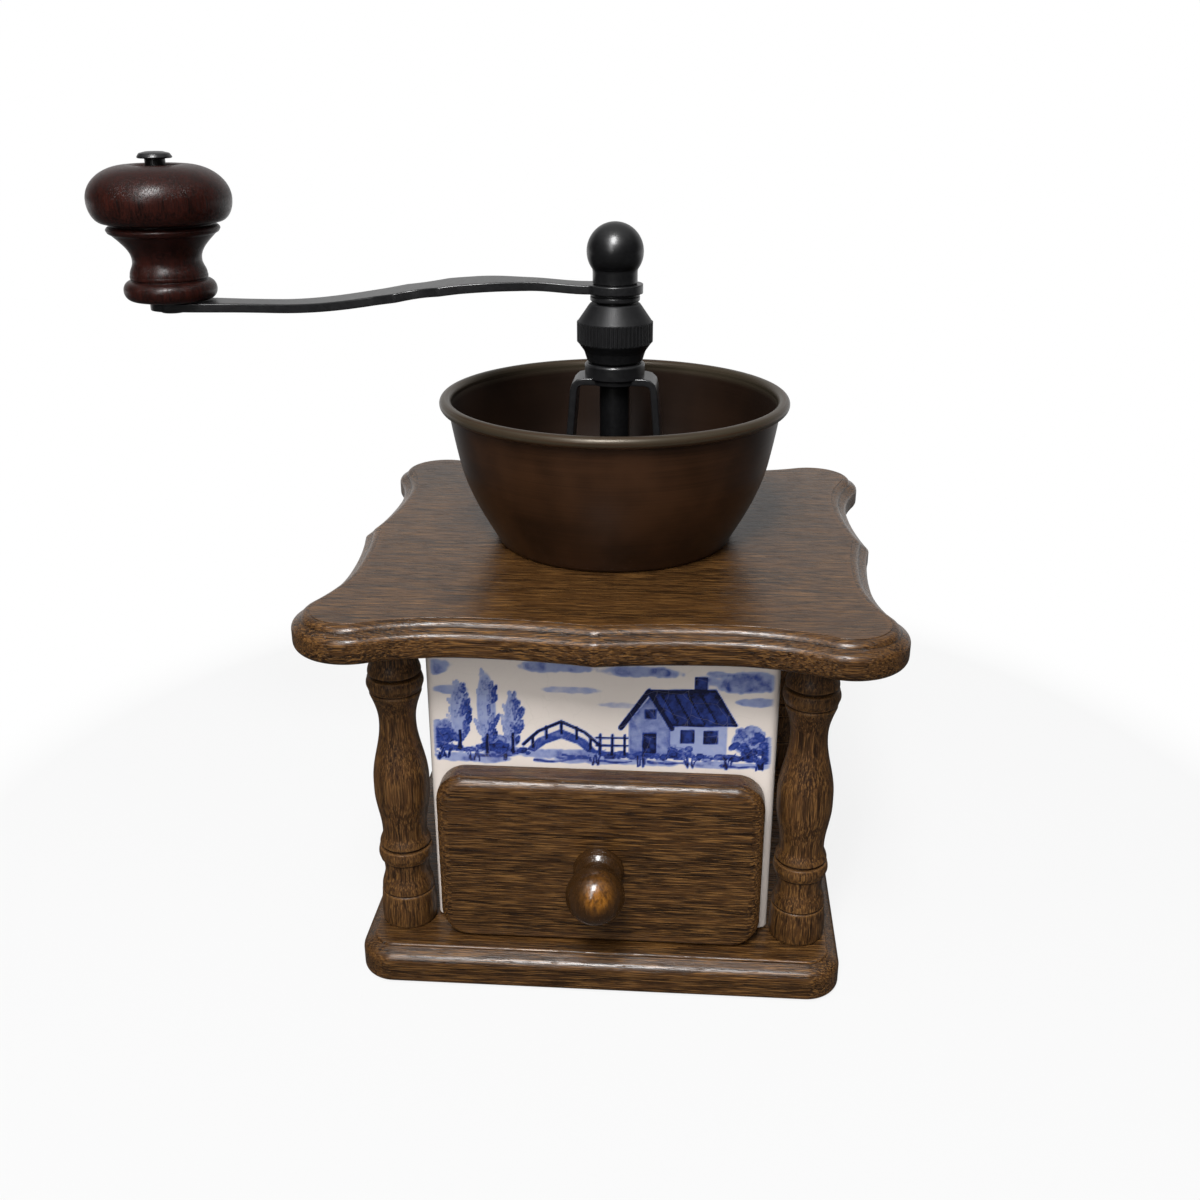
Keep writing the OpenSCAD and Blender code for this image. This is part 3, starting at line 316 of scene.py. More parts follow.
def dark_knob_wood():
    mid = shade(finish().knob_mid)
    return made_material("dark_knob_wood", wood, (shade(finish().knob_deep), mid, mid, mid), 2, 0.2, 0.3, 0)


def bare_beech():
    deep, mid, light = (shade(finish().beech, k) for k in (0.78, 1.0, 1.15))
    return made_material("plain_beech", wood, (deep, mid, light, light), 1, 0.2, 0.6, 0)


def hopper_metal(web):
    """Copper-brown lacquer with marks brushed round the bowl, a rubbed rim, and an inside that is rougher and
    darkened as painted shade.
    """
    place, copper = web.place(), finish().copper
    x, y, z = web.split(place)
    path = web.join((x * x + y * y) ** 0.5 * 2.4, web.maths("ARCTAN2", y, x) * 0.7, z * 2.4)
    brushed = web.noise(path, 1.0, 4, 0.65)
    patches = web.between(web.noise(place, (0.06, 0.06, 0.048)) * 0.65 + brushed * 0.35, 0.34, 0.64)
    inside = web.attribute("inside")
    rubbed = web.attribute("rim") * web.between(web.noise(path, 0.7, 3), 0.2, 0.6)
    colour = web.blend(patches, shade(copper, 0.55), shade(copper, 1.25))
    # Painted shade: the inside of the bowl is darkened.
    colour = web.blend(inside * 0.8, colour, shade(copper, 0.2))
    colour = web.blend(rubbed, colour, finish().rim)
    rough = 0.34 + (brushed - 0.5) * 0.2 + inside * 0.14
    return web.surface(colour, rough, brushed, 0.1, 0.08, Metallic=0.35, Specular_IOR_Level=0.3)


def turned_metal(web, colour, metallic, rough, gloss=0.5):
    """Metal with faint turning marks, rubbed along its edges, and painted shade in its grooves."""
    place, ridge = web.place(), web.attribute("ridge")
    x, y, z = web.split(place)
    marks = web.noise(web.join((x * x + y * y) ** 0.5, 0.0, z), 3.2, 3, 0.6)
    specks = web.noise(place, 0.9, 3, 0.6)
    tone = web.between(specks * 0.7 + marks * 0.3, 0.3, 0.75)
    skin = web.blend(tone, shade(colour, 0.75), shade(colour, 1.2))
    skin = web.blend(web.between(ridge, 0.3, 0.9) * specks, skin, [c + 0.003 for c in shade(colour, 2)])
    # Painted shade: darker in grooves, where the ridge layer is below zero.
    skin = web.blend(web.between(0 - ridge, 0.1, 0.6) * 0.8, skin, shade(colour, 0.3))
    rough = rough + (marks - 0.5) * 0.14 + (specks - 0.5) * 0.12
    relief = marks + specks * 0.5
    return web.surface(skin, rough, relief, 0.08, 0.06, Metallic=metallic, Specular_IOR_Level=gloss)


def black_metal():
    return made_material("black_metal", turned_metal, finish().black, 0.0, 0.32)


def worn_black_metal():
    return made_material("worn_black_metal", turned_metal, finish().worn_black, 0.1, 0.46, 0.24)


def cast_iron():
    return made_material("cast_iron", turned_metal, finish().iron, 0.9, 0.48)


def plated_steel():
    return made_material("plated_steel", turned_metal, finish().zinc, 0.95, 0.34)


def painted_glaze(web):
    """White glaze with cobalt brushwork under it and a fine net of crazing."""
    place, white = web.place(), finish().glaze
    mottle = web.noise(place, 0.8, 3, 0.6)
    thick = web.most(web.attribute("cobalt") * (0.72 + mottle * 0.56), 0.0)
    colour = web.blend(web.noise(place, 0.04), white, shade(white, 0.93))
    colour = web.blend(web.between(thick, 0.0, 0.26), colour, finish().cobalt_wash)
    colour = web.blend(web.between(thick, 0.24, 0.58), colour, finish().cobalt_mid)
    colour = web.blend(web.between(thick, 0.52, 0.86), colour, finish().cobalt)
    drift = web.out(web.add("ShaderNodeTexNoise", Vector=place, Scale=0.35, Detail=2.0), "Color")
    net = {"Vector": web.vector("ADD", place, drift), "Scale": 0.16}
    cracks = web.out(web.add("ShaderNodeTexVoronoi", {"feature": "DISTANCE_TO_EDGE"}, **net), "Distance")
    colour = web.blend((1 - web.between(cracks, 0.0, 0.012)) * 0.16, colour, (0.35, 0.32, 0.28))
    relief = web.noise(place, 0.12) + thick * 0.15
    return web.surface(colour, 0.16 + mottle * 0.06, relief, 0.12, 0.4, Coat_Weight=0.3, Coat_Roughness=0.05)


# ---- Outlines, in millimetres ----


def arc(cx, cy, r, start, end, n, tall=None):
    """Points round a centre from start to end in degrees; tall is an ellipse's upright radius."""
    turns = np.radians(np.linspace(start, end, n + 1))
    return [(cx + r * math.cos(a), cy + (tall or r) * math.sin(a)) for a in turns]


def ease(a, b, n, turn=math.pi):
    """Line that climbs evenly from a to b and swings across by a cosine: S-shaped over a half turn."""
    swing = [(1 - math.cos(turn * i / n)) / (1 - math.cos(turn)) for i in range(n + 1)]
    return [(a[0] + (b[0] - a[0]) * share, a[1] + (b[1] - a[1]) * i / n) for i, share in enumerate(swing)]


def flare(a, b, n):
    """Hollow that leaves a along the axis and opens towards b."""
    return ease(a, b, n, math.pi / 2)


def soften(outline, radius, closed=False):
    """The outline with each clear corner rounded by up to radius."""
    n = len(outline)
    soft = []
    for i, here in enumerate(outline):
        if not closed and i in (0, n - 1):
            soft.append(here)
            continue
        p = Vector(here)
        before = Vector(outline[i - 1]) - p
        after = Vector(outline[(i + 1) % n]) - p
        if min(before.length, after.length) < 1e-6:
            continue
        if before.angle(after) > math.radians(168):
            soft.append(here)
            continue
        a = p + before.normalized() * min(radius, before.length * 0.42)
        b = p + after.normalized() * min(radius, after.length * 0.42)
        for t in (0, 0.33, 0.67, 1):
            soft.append(tuple(a * (1 - t) ** 2 + p * 2 * t * (1 - t) + b * t**2))
    return soft


def round_rect(hx, hy, r, n):
    """Rounded rectangle, anticlockwise from the front right corner."""
    corners = ((hx - r, r - hy), (hx - r, hy - r), (r - hx, hy - r), (r - hx, r - hy))
    return [p for q, (cx, cy) in enumerate(corners) for p in arc(cx, cy, r, 90 * q - 90, 90 * q, n)]


def moulding(t, w, low_r, nose_r, shoulder, slope, arris):
    """Edge of a board as (inset, height): lower round, nose, sloping band, shoulder and thin arris."""
    fall, sweep = math.tan(math.radians(slope)), math.radians(90 - slope)
    rise_from, rise_to = 20, 80
    inner = w - 0.25
    centre = t - arris - shoulder * math.sin(math.radians(rise_to))
    band_in = inner - shoulder * math.cos(math.radians(rise_from))
    band_top = centre + shoulder * math.sin(math.radians(rise_from))
    band = band_in - nose_r * (1 - math.cos(sweep))
    nose_z = band_top - band * fall - nose_r * math.sin(sweep)
    edge = arc(low_r, low_r, low_r, 270, 180, 8) + arc(nose_r, nose_z, nose_r, 180, 90 + slope, 8)
    edge += [(band_in - band * u, band_top - band * fall * u) for u in np.linspace(0.8, 0.2, 4)]
    if shoulder:
        edge += arc(inner, centre, shoulder, 180 - rise_from, 180 - rise_to, 7)
    edge += [(inner, t - arris)] + arc(inner + 0.1 + arris, t - arris, arris, 180, 90, 5)
    return edge + [(w + 1.4, t)]


def top_outline(d, half, ear_r):
    """Outline of the top board drawn in by d: long hollows, round ears and a cusp on each side."""
    cusp, hollow, hollow_at = half - 3.1, half - 6.3, 33.0
    ear_mid, rise = half - ear_r, cusp - hollow
    long_r = (hollow_at**2 + rise**2) / (2 * rise)
    ear_run, ear_rise = ear_mid - hollow_at, hollow - ear_mid
    short_r = (ear_run**2 + ear_rise**2 - ear_r**2) / (2 * (ear_r - ear_rise))
    turn = math.degrees(math.atan2(ear_run, ear_rise + short_r))
    start = math.degrees(math.asin(hollow_at / (long_r + d)))
    side = arc(hollow_at, hollow + long_r, long_r + d, -90 - start, -90, 24)[:-1]
    side += arc(hollow_at, hollow + short_r, short_r + d, -90, turn - 90, 16)[:-1]
    side += arc(ear_mid, ear_mid, ear_r - d, 90 + turn, 45, 16)
    quarter = [(x, -y) for x, y in side] + [(y, -x) for x, y in side[-2:0:-1]]
    turns = ((1, 0), (0, 1), (-1, 0), (0, -1))
    return [(x * c - y * s, x * s + y * c) for c, s in turns for x, y in quarter]


# ---- Meshes ----


def walls(rows, closed=False):
    """Faces between rows of point numbers, which run right round and may shrink to a single point."""
    faces = []
    for low, high in zip(rows, rows[1:] + (rows[:1] if closed else [])):
        count = max(len(low), len(high))
        for i in range(count):
            j = (i + 1) % count
            corners = low[i % len(low)], low[j % len(low)], high[j % len(high)], high[i % len(high)]
            faces.append(tuple(dict.fromkeys(corners)))
    return faces


def lathe(outline, turns, closed=False, soft=0.0):
    """Points and faces of a turned form from (radius, height) pairs, foot first, its corners softened."""
    points, rows = [], []
    for r, h in soften(outline, soft, closed) if soft else outline:
        ring = [2 * math.pi * i / turns for i in range(1 if r < 1e-6 else turns)]
        rows.append(range(len(points), len(points) + len(ring)))
        points += [(r * math.cos(a), r * math.sin(a), h) for a in ring]
    return points, walls(rows, closed)


def stacked(rings, hole=0.0):
    """Points and faces of a solid through rings of equal count, with a round hole through it if asked for."""
    count = len(rings[0])
    if hole:
        low = [(*(Vector(p[:2]).normalized() * hole), rings[0][0][2]) for p in rings[0]]
        rings = rings + [[(x, y, rings[-1][0][2]) for x, y, _ in low], low]
    rows = [range(k * count, (k + 1) * count) for k in range(len(rings))]
    ends = [] if hole else [tuple(reversed(rows[0])), tuple(rows[-1])]
    return [p for ring in rings for p in ring], walls(rows, bool(hole)) + ends


def swept_strap(path, widths, thick, edge):
    """Points and faces of a flat strap with softened edges that follows path in the XZ plane."""
    rings = []
    for i, (x, z) in enumerate(path):
        (ax, az), (bx, bz) = path[max(i - 1, 0)], path[min(i + 1, len(path) - 1)]
        run = Vector((bx - ax, bz - az)).normalized()
        wide = max(widths[i], 0.05)
        section = round_rect(wide, thick / 2, min(edge, thick * 0.45, wide * 0.9), 3)
        rings.append([(x - run.y * up, y, z + run.x * up) for y, up in section])
    return stacked(rings)


def ridges(mesh):
    """How sharply the surface turns at each point: towards 1 on edges, towards -1 in grooves."""
    count = len(mesh.vertices)
    if not mesh.edges:
        return np.zeros(count)
    spots, facing, ends = np.empty(count * 3), np.empty(count * 3), np.empty(len(mesh.edges) * 2, np.int32)
    mesh.vertices.foreach_get("co", spots)
    mesh.vertices.foreach_get("normal", facing)
    mesh.edges.foreach_get("vertices", ends)
    spots, facing, ends = spots.reshape(-1, 3) / MM, facing.reshape(-1, 3), ends.reshape(-1, 2)
    a, b = np.concatenate([ends, ends[:, ::-1]]).T
    step = spots[a] - spots[b]
    run = np.maximum(np.sum(step**2, axis=1), 1e-4)
    turn = np.clip(2 * np.sum(step * facing[a], axis=1) / run, -3, 3)
    links = np.maximum(np.bincount(a, minlength=count), 1)
    value = np.bincount(a, turn, count) / links
    for _ in range(2):
        value = value * 0.5 + np.bincount(a, value[b], count) / links * 0.5
    return np.clip(value * 1.6, -1, 1)


def smooth(mesh, sharp):
    """Smooth shading between the edges sharper than that many degrees."""
    mesh.shade_smooth()
    mesh.set_sharp_from_angle(angle=math.radians(sharp))


def placed(name, mesh, material):
    mesh.materials.clear()
    mesh.materials.append(material)
    piece = bpy.data.objects.new(name, mesh)
    bpy.context.scene.collection.objects.link(piece)
    return piece


def mesh_piece(name, shape, material, sharp=38.0, **layers):
    """Object made from points in millimetres and faces, with the ridge layer and any others on its points."""
    points, faces = shape
    mesh = bpy.data.meshes.new(name)
    mesh.from_pydata([(x * MM, y * MM, z * MM) for x, y, z in points], [], faces)
    smooth(mesh, sharp)
    for layer, values in {"ridge": ridges(mesh), **layers}.items():
        mesh.attributes.new(layer, "FLOAT", "POINT").data.foreach_set("value", np.asarray(values, np.float32))
    return placed(name, mesh, material)


def moved(shape, to=(0, 0, 0), turn=None):
    """The shape turned and then shifted, in millimetres."""
    points, faces = shape
    matrix = Matrix.Translation(to) @ (turn or Matrix.Identity(3)).to_4x4()
    return [tuple(matrix @ Vector(p)) for p in points], faces


def joined(*shapes):
    points, faces = [], []
    for shape_points, shape_faces in shapes:
        faces += [tuple(i + len(points) for i in face) for face in shape_faces]
        points += shape_points
    return points, faces


def put_outside_out(*pieces):
    """Recalculates the normals of closed meshes."""
    for piece in pieces:
        form = bmesh.new()
        form.from_mesh(piece.data)
        bmesh.ops.recalc_face_normals(form, faces=form.faces)
        form.to_mesh(piece.data)
        form.free()


def settle(piece):
    """Turns the evaluated piece into a plain mesh and drops its modifiers."""
    graph = bpy.context.evaluated_depsgraph_get()
    graph.update()
    mesh = bpy.data.meshes.new_from_object(piece.evaluated_get(graph))
    mesh.name = piece.name
    piece.modifiers.clear()
    piece.data = mesh


def cut_away(piece, cutter):
    """Takes the cutter's form out of the piece, and removes the cutter."""
    cut = piece.modifiers.new("Cut", "BOOLEAN")
    cut.object = cutter
    cut.solver = "EXACT"
    settle(piece)
    bpy.data.objects.remove(cutter)


def dress(piece, body, slot, *nodes):
    """The piece stands for the CAD nodes and moves with the body; broad faces keep their flat shading."""
    if not piece.data.has_custom_normals:
        piece.modifiers.new("Even Shading", "WEIGHTED_NORMAL").keep_sharp = True
        settle(piece)
    if nodes:
        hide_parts(*nodes)
    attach(piece, body)


def eased_copy(node, name, material, width, body, slot):
    """Copy of a CAD node with loose triangles merged and sharp edges softened by width millimetres."""
    form = bmesh.new()
    form.from_mesh(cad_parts[node].data)
    bmesh.ops.remove_doubles(form, verts=form.verts, dist=1e-6)
    bmesh.ops.dissolve_limit(form, angle_limit=math.radians(1), verts=form.verts, edges=form.edges)
    mesh = bpy.data.meshes.new(name)
    form.to_mesh(mesh)
    form.free()
    piece = placed(name, mesh, material)
    bevel = piece.modifiers.new("Soft Edges", "BEVEL")
    bevel.width = width * MM
    bevel.segments = 3
    bevel.limit_method = "ANGLE"
    bevel.angle_limit = math.radians(40)
    settle(piece)
    smooth(piece.data, 40)
    dress(piece, body, slot, node)


def recolour(material, *nodes):
    """Gives CAD nodes that keep their own shape a material."""
    for node in nodes:
        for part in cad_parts[node].material_slots:
            part.material = material


def low(node):
    return [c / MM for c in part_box(node)[0]]


def high(node):
    return [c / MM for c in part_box(node)[1]]


def middle(node, axis):
    return (low(node)[axis] + high(node)[axis]) / 2


# ---- Brushwork on the glazed front: a made-up village by a canal ----


class Brush:
    """Lays cobalt on points of the front face, in millimetres from its middle and from the ground"""

    def __init__(self, x, z):
        self.x, self.z = x, z
        self.ink = np.zeros(len(x))
        self.cells = np.random.default_rng(7).random((64, 64))

    def grain(self, scale):
        """Smooth repeating noise of 0 to 1 over the face."""
        u, v = self.x * scale + 20, self.z * scale + 20
        iu, iv = np.floor(u).astype(int), np.floor(v).astype(int)
        fu, fv = u - iu, v - iv
        fu, fv = fu * fu * (3 - 2 * fu), fv * fv * (3 - 2 * fv)

        def level(b):
            first, second = (self.cells[(iu + a) % 64, (iv + b) % 64] for a in (0, 1))
            return first * (1 - fu) + second * fu

        return level(0) * (1 - fv) + level(1) * fv

    def lay(self, mask, strength):
        self.ink = np.maximum(self.ink, mask * strength)

    def along(self, start, end):
        """How far along the line each point lies, from 0 to 1, and its distance from the line."""
        (ax, az), (bx, bz) = start, end
        run = max((bx - ax) ** 2 + (bz - az) ** 2, 1e-6)
        t = np.clip(((self.x - ax) * (bx - ax) + (self.z - az) * (bz - az)) / run, 0, 1)
        return t, np.hypot(self.x - ax - t * (bx - ax), self.z - az - t * (bz - az))

    def wash(self, cx, cz, rx, rz, strength):
        """Wet horizontal wash with a ragged outline."""
        reach = ((self.x - cx) / rx) ** 2 + ((self.z - cz) / rz) ** 2
        ragged = reach + (self.grain(0.22) - 0.5) * 0.9 + (self.grain(0.9) - 0.5) * 0.35
        mask = np.clip((1.0 - ragged) / 0.45, 0, 1) * (0.7 + 0.5 * self.grain(0.5))
        self.ink = self.ink + mask * strength * (1 - self.ink)

    def dab(self, cx, cz, rx, rz, turn, strength):
        """Single press of a round brush, darker where the colour pools at its edge."""
        c, s = math.cos(math.radians(turn)), math.sin(math.radians(turn))
        u, v = (self.x - cx) * c + (self.z - cz) * s, -(self.x - cx) * s + (self.z - cz) * c
        reach = np.sqrt((u / rx) ** 2 + (v / rz) ** 2)
        mask = np.clip((1.08 - reach) / 0.22, 0, 1)
        self.lay(mask * (0.62 + 0.38 * np.clip(reach, 0, 1) ** 3), strength)

    def stroke(self, points, width, strength, taper=0.5):
        """Line of the brush through points, thinner towards its end."""
        total = len(points) - 1
        for i, ends in enumerate(zip(points, points[1:])):
            t, gap = self.along(*ends)
            wide = width * (1 - taper * (i + t) / total) / 2
            self.lay(np.clip((wide - gap) / 0.3 + 0.5, 0, 1), strength)

    def fill(self, corners, strength):
        """Filled shape with a darker outline."""
        inside = np.zeros(len(self.x), bool)
        gap = np.full(len(self.x), 1e3)
        for (ax, az), (bx, bz) in zip(corners, corners[1:] + corners[:1]):
            crosses = (az > self.z) != (bz > self.z)
            inside ^= crosses & (self.x < (bx - ax) * (self.z - az) / ((bz - az) or 1e-9) + ax)
            gap = np.minimum(gap, self.along((ax, az), (bx, bz))[1])
        depth = np.where(inside, gap, -gap)
        mask = np.clip(depth / 0.3 + 0.5, 0, 1)
        self.lay(mask * (0.75 + 0.25 * np.exp(-np.abs(depth) / 0.6)), strength)

    def block(self, x0, z0, x1, z1, strength):
        self.fill([(x0, z0), (x0, z1), (x1, z1), (x1, z0)], strength)

    def foliage(self, cx, cz, rx, rz, count, seed):
        """Bush of overlapping leaf dabs, dark below and light above."""
        chance = np.random.default_rng(seed).uniform
        self.dab(cx, cz, rx, rz * 0.9, 0, 0.5)
        for _ in range(count):
            a, r = chance(0, 2 * math.pi), math.sqrt(chance(0, 1))
            x, z = cx + rx * r * math.cos(a), cz + rz * r * math.sin(a)
            tone = 0.95 - 0.5 * (z - cz + rz) / (2 * rz) + chance(-0.15, 0.15)
            self.dab(x, z, chance(1.1, 2.1), chance(0.7, 1.3), chance(-50, 50), tone)

    def poplar(self, x, foot, crown, wide):
        """Tall tree of upward dabs, dark along its right side and below."""
        chance = np.random.default_rng(int(100 - x)).uniform
        self.dab(x, (foot + crown) / 2, wide * 0.8, (crown - foot) / 2, 0, 0.42)
        for _ in range(46):
            up, across = chance(0, 1), chance(-1, 1)
            spread = wide * math.sin(math.pi * min(0.94, 0.12 + up * 0.84)) ** 0.7
            tone = 0.66 + 0.24 * across - 0.2 * up + chance(-0.12, 0.12)
            z = foot + up * (crown - foot)
            self.dab(x + across * spread, z, 0.6, chance(1.1, 1.9), -22 * across, tone)

    def bank(self, points, seed):
        """Grassy bank of short dabs along points."""
        chance = np.random.default_rng(seed).uniform
        for (ax, az), (bx, bz) in zip(points, points[1:]):
            for t in np.arange(0, 1, 1.1 / (bx - ax)):
                x, z = ax + t * (bx - ax), az + t * (bz - az) + chance(-0.6, 0.6)
                self.dab(x, z, chance(1.2, 2.2), chance(0.5, 1.0), chance(-20, 20), chance(0.55, 0.98))

    def reeds(self, places, seed):
        """Clumps of thin bent leaves at the water's edge."""
        chance = np.random.default_rng(seed).uniform
        for x in places:
            for _ in range(6):
                lean, tall = chance(-2.4, 2.4), chance(2.0, 4.8)
                foot, root = x + chance(-1.4, 1.4), chance(63.6, 65)
                leaf = [(foot, root), (foot + lean * 0.3, root + tall * 0.6), (foot + lean, root + tall)]
                self.stroke(leaf, 0.6, 0.82, 0.8)


def paint_surroundings(brush):
    """Cloudy sky, canal and three poplars to the left."""
    clouds = [(-46, 92.5, 6, 2.4, 0.34), (-13, 93.4, 13, 2.2, 0.36), (10, 92.5, 12, 2.2, 0.4)]
    clouds += [(39, 90.5, 12, 3.4, 0.44), (44, 84.5, 7, 1.6, 0.34), (-43, 85.5, 7, 1.4, 0.3)]
    clouds += [(-8, 86.5, 9, 1.1, 0.2), (4, 82.4, 7, 0.9, 0.16)]
    water = [(-14, 66.6, 20, 1.8, 0.42), (4, 64.9, 24, 1.3, 0.36)]
    water += [(-36, 64.6, 12, 1.6, 0.4), (34, 65, 14, 1.2, 0.34)]
    for patch in clouds + water:
        brush.wash(*patch)
    for x, foot, crown, wide in [(-39.4, 70, 87.5, 3.0), (-31.8, 69, 90.8, 3.3), (-24.6, 69.6, 84.5, 2.8)]:
        brush.stroke([(x, foot - 2.6), (x + 0.2, foot + 3)], 1.1, 0.98, 0.3)
        brush.poplar(x + 0.2, foot + 1, crown, wide)


def paint_bridge(brush):
    """Arched footbridge with its rail and posts."""
    top = [(-21, 67.6), (-17.6, 71.4), (-11, 74.6), (-4.4, 71.6), (-1, 67.8)]
    brush.fill(top + [(-3.6, 67.4), (-6.6, 70), (-11, 71.6), (-15.4, 69.8), (-18.4, 67.2)], 0.66)
    brush.stroke([(-21.6, 69.4), (-17.4, 73.6), (-11, 76.8), (-4.6, 73.8), (-0.4, 69.8)], 0.9, 0.97, 0.1)
    for x, z in [(-19, 71.6), (-15.2, 74.4), (-11, 76.2), (-6.8, 74.5), (-3, 71.8)]:
        brush.stroke([(x, z - 3), (x, z + 0.6)], 0.8, 0.9, 0)


def paint_cottage(brush):
    """Cottage with a tiled roof, a chimney, a door and windows."""
    brush.fill([(7.6, 67.6), (7.6, 77.6), (13.4, 85.6), (19, 77.6), (19, 67.6)], 0.52)
    brush.fill([(19, 67.6), (19, 77.6), (34.4, 78), (34.4, 68.2)], 0.34)
    brush.fill([(12.4, 86.6), (30.6, 87.4), (37, 77), (19.2, 76.4)], 0.9)
    brush.stroke([(5.4, 75.6), (13, 87), (19.4, 75.8)], 1.5, 1.0, 0.1)
    brush.stroke([(12.6, 86.8), (30.8, 87.6), (36.8, 77.4)], 1.1, 1.0, 0.3)
    for x in (16.4, 20, 23.6, 27.2):
        brush.stroke([(x, 86), (x + 4.6, 77.6)], 0.6, 1.0, 0.2)
    brush.block(25.2, 86, 28.8, 91.6, 0.86)
    brush.wash(31.6, 92.6, 3.6, 1.2, 0.34)
    brush.block(11.4, 67.8, 15.2, 74.2, 0.98)
    for x in (21.6, 28):
        brush.fill([(x, 71.4), (x, 75.6), (x + 4, 75.7), (x + 4, 71.5)], 0.92)
        brush.stroke([(x + 2, 71.4), (x + 2, 75.7)], 0.5, 0.3, 0)
    brush.block(11.8, 78.6, 15, 81.4, 0.92)


def paint_village(brush):
    """The whole scene, with banks, a fence, bushes, reeds and ripples in front."""
    paint_surroundings(brush)
    paint_bridge(brush)
    paint_cottage(brush)
    brush.bank([(-47, 68.2), (-40, 67.4), (-32, 68), (-20, 67)], 19)
    brush.bank([(-2, 67.6), (5, 66.9), (14, 67), (25, 67.1), (36, 67.6), (47, 66.4)], 23)
    for x in (-0.4, 3, 6.4):
        brush.stroke([(x, 67), (x + 0.1, 73.2)], 0.8, 0.95, 0.2)
    for z in (69.8, 72.2):
        brush.stroke([(-1.4, z), (7.4, z + 0.2)], 0.6, 0.88, 0.2)
    bushes = [(-44.4, 72, 4.4, 3.8, 30, 3), (-27.8, 69.6, 4.0, 2.2, 20, 5), (40.4, 72.4, 4.6, 4.4, 34, 11)]
    for bush in bushes + [(46, 70.4, 3.0, 3.4, 18, 13), (21.4, 68.8, 3.2, 1.6, 12, 17)]:
        brush.foliage(*bush)
    brush.reeds((-45.6, -43, -35.4, -26.8, -1.6, 11.4, 24.6, 34.4, 43.6), 29)
    ripples = [(-30, 65.6, 10), (-14, 64.6, 9), (-7, 66.4, 7), (4, 65, 9), (18, 65.2, 10), (38, 64.8, 10)]
    for x, z, run in ripples:
        brush.stroke([(x - run / 2, z), (x, z - 0.4), (x + run / 2, z + 0.1)], 1.0, 0.62)
    brush.ink *= 0.84 + 0.3 * brush.grain(0.7)


# ---- Operators: the stage ----


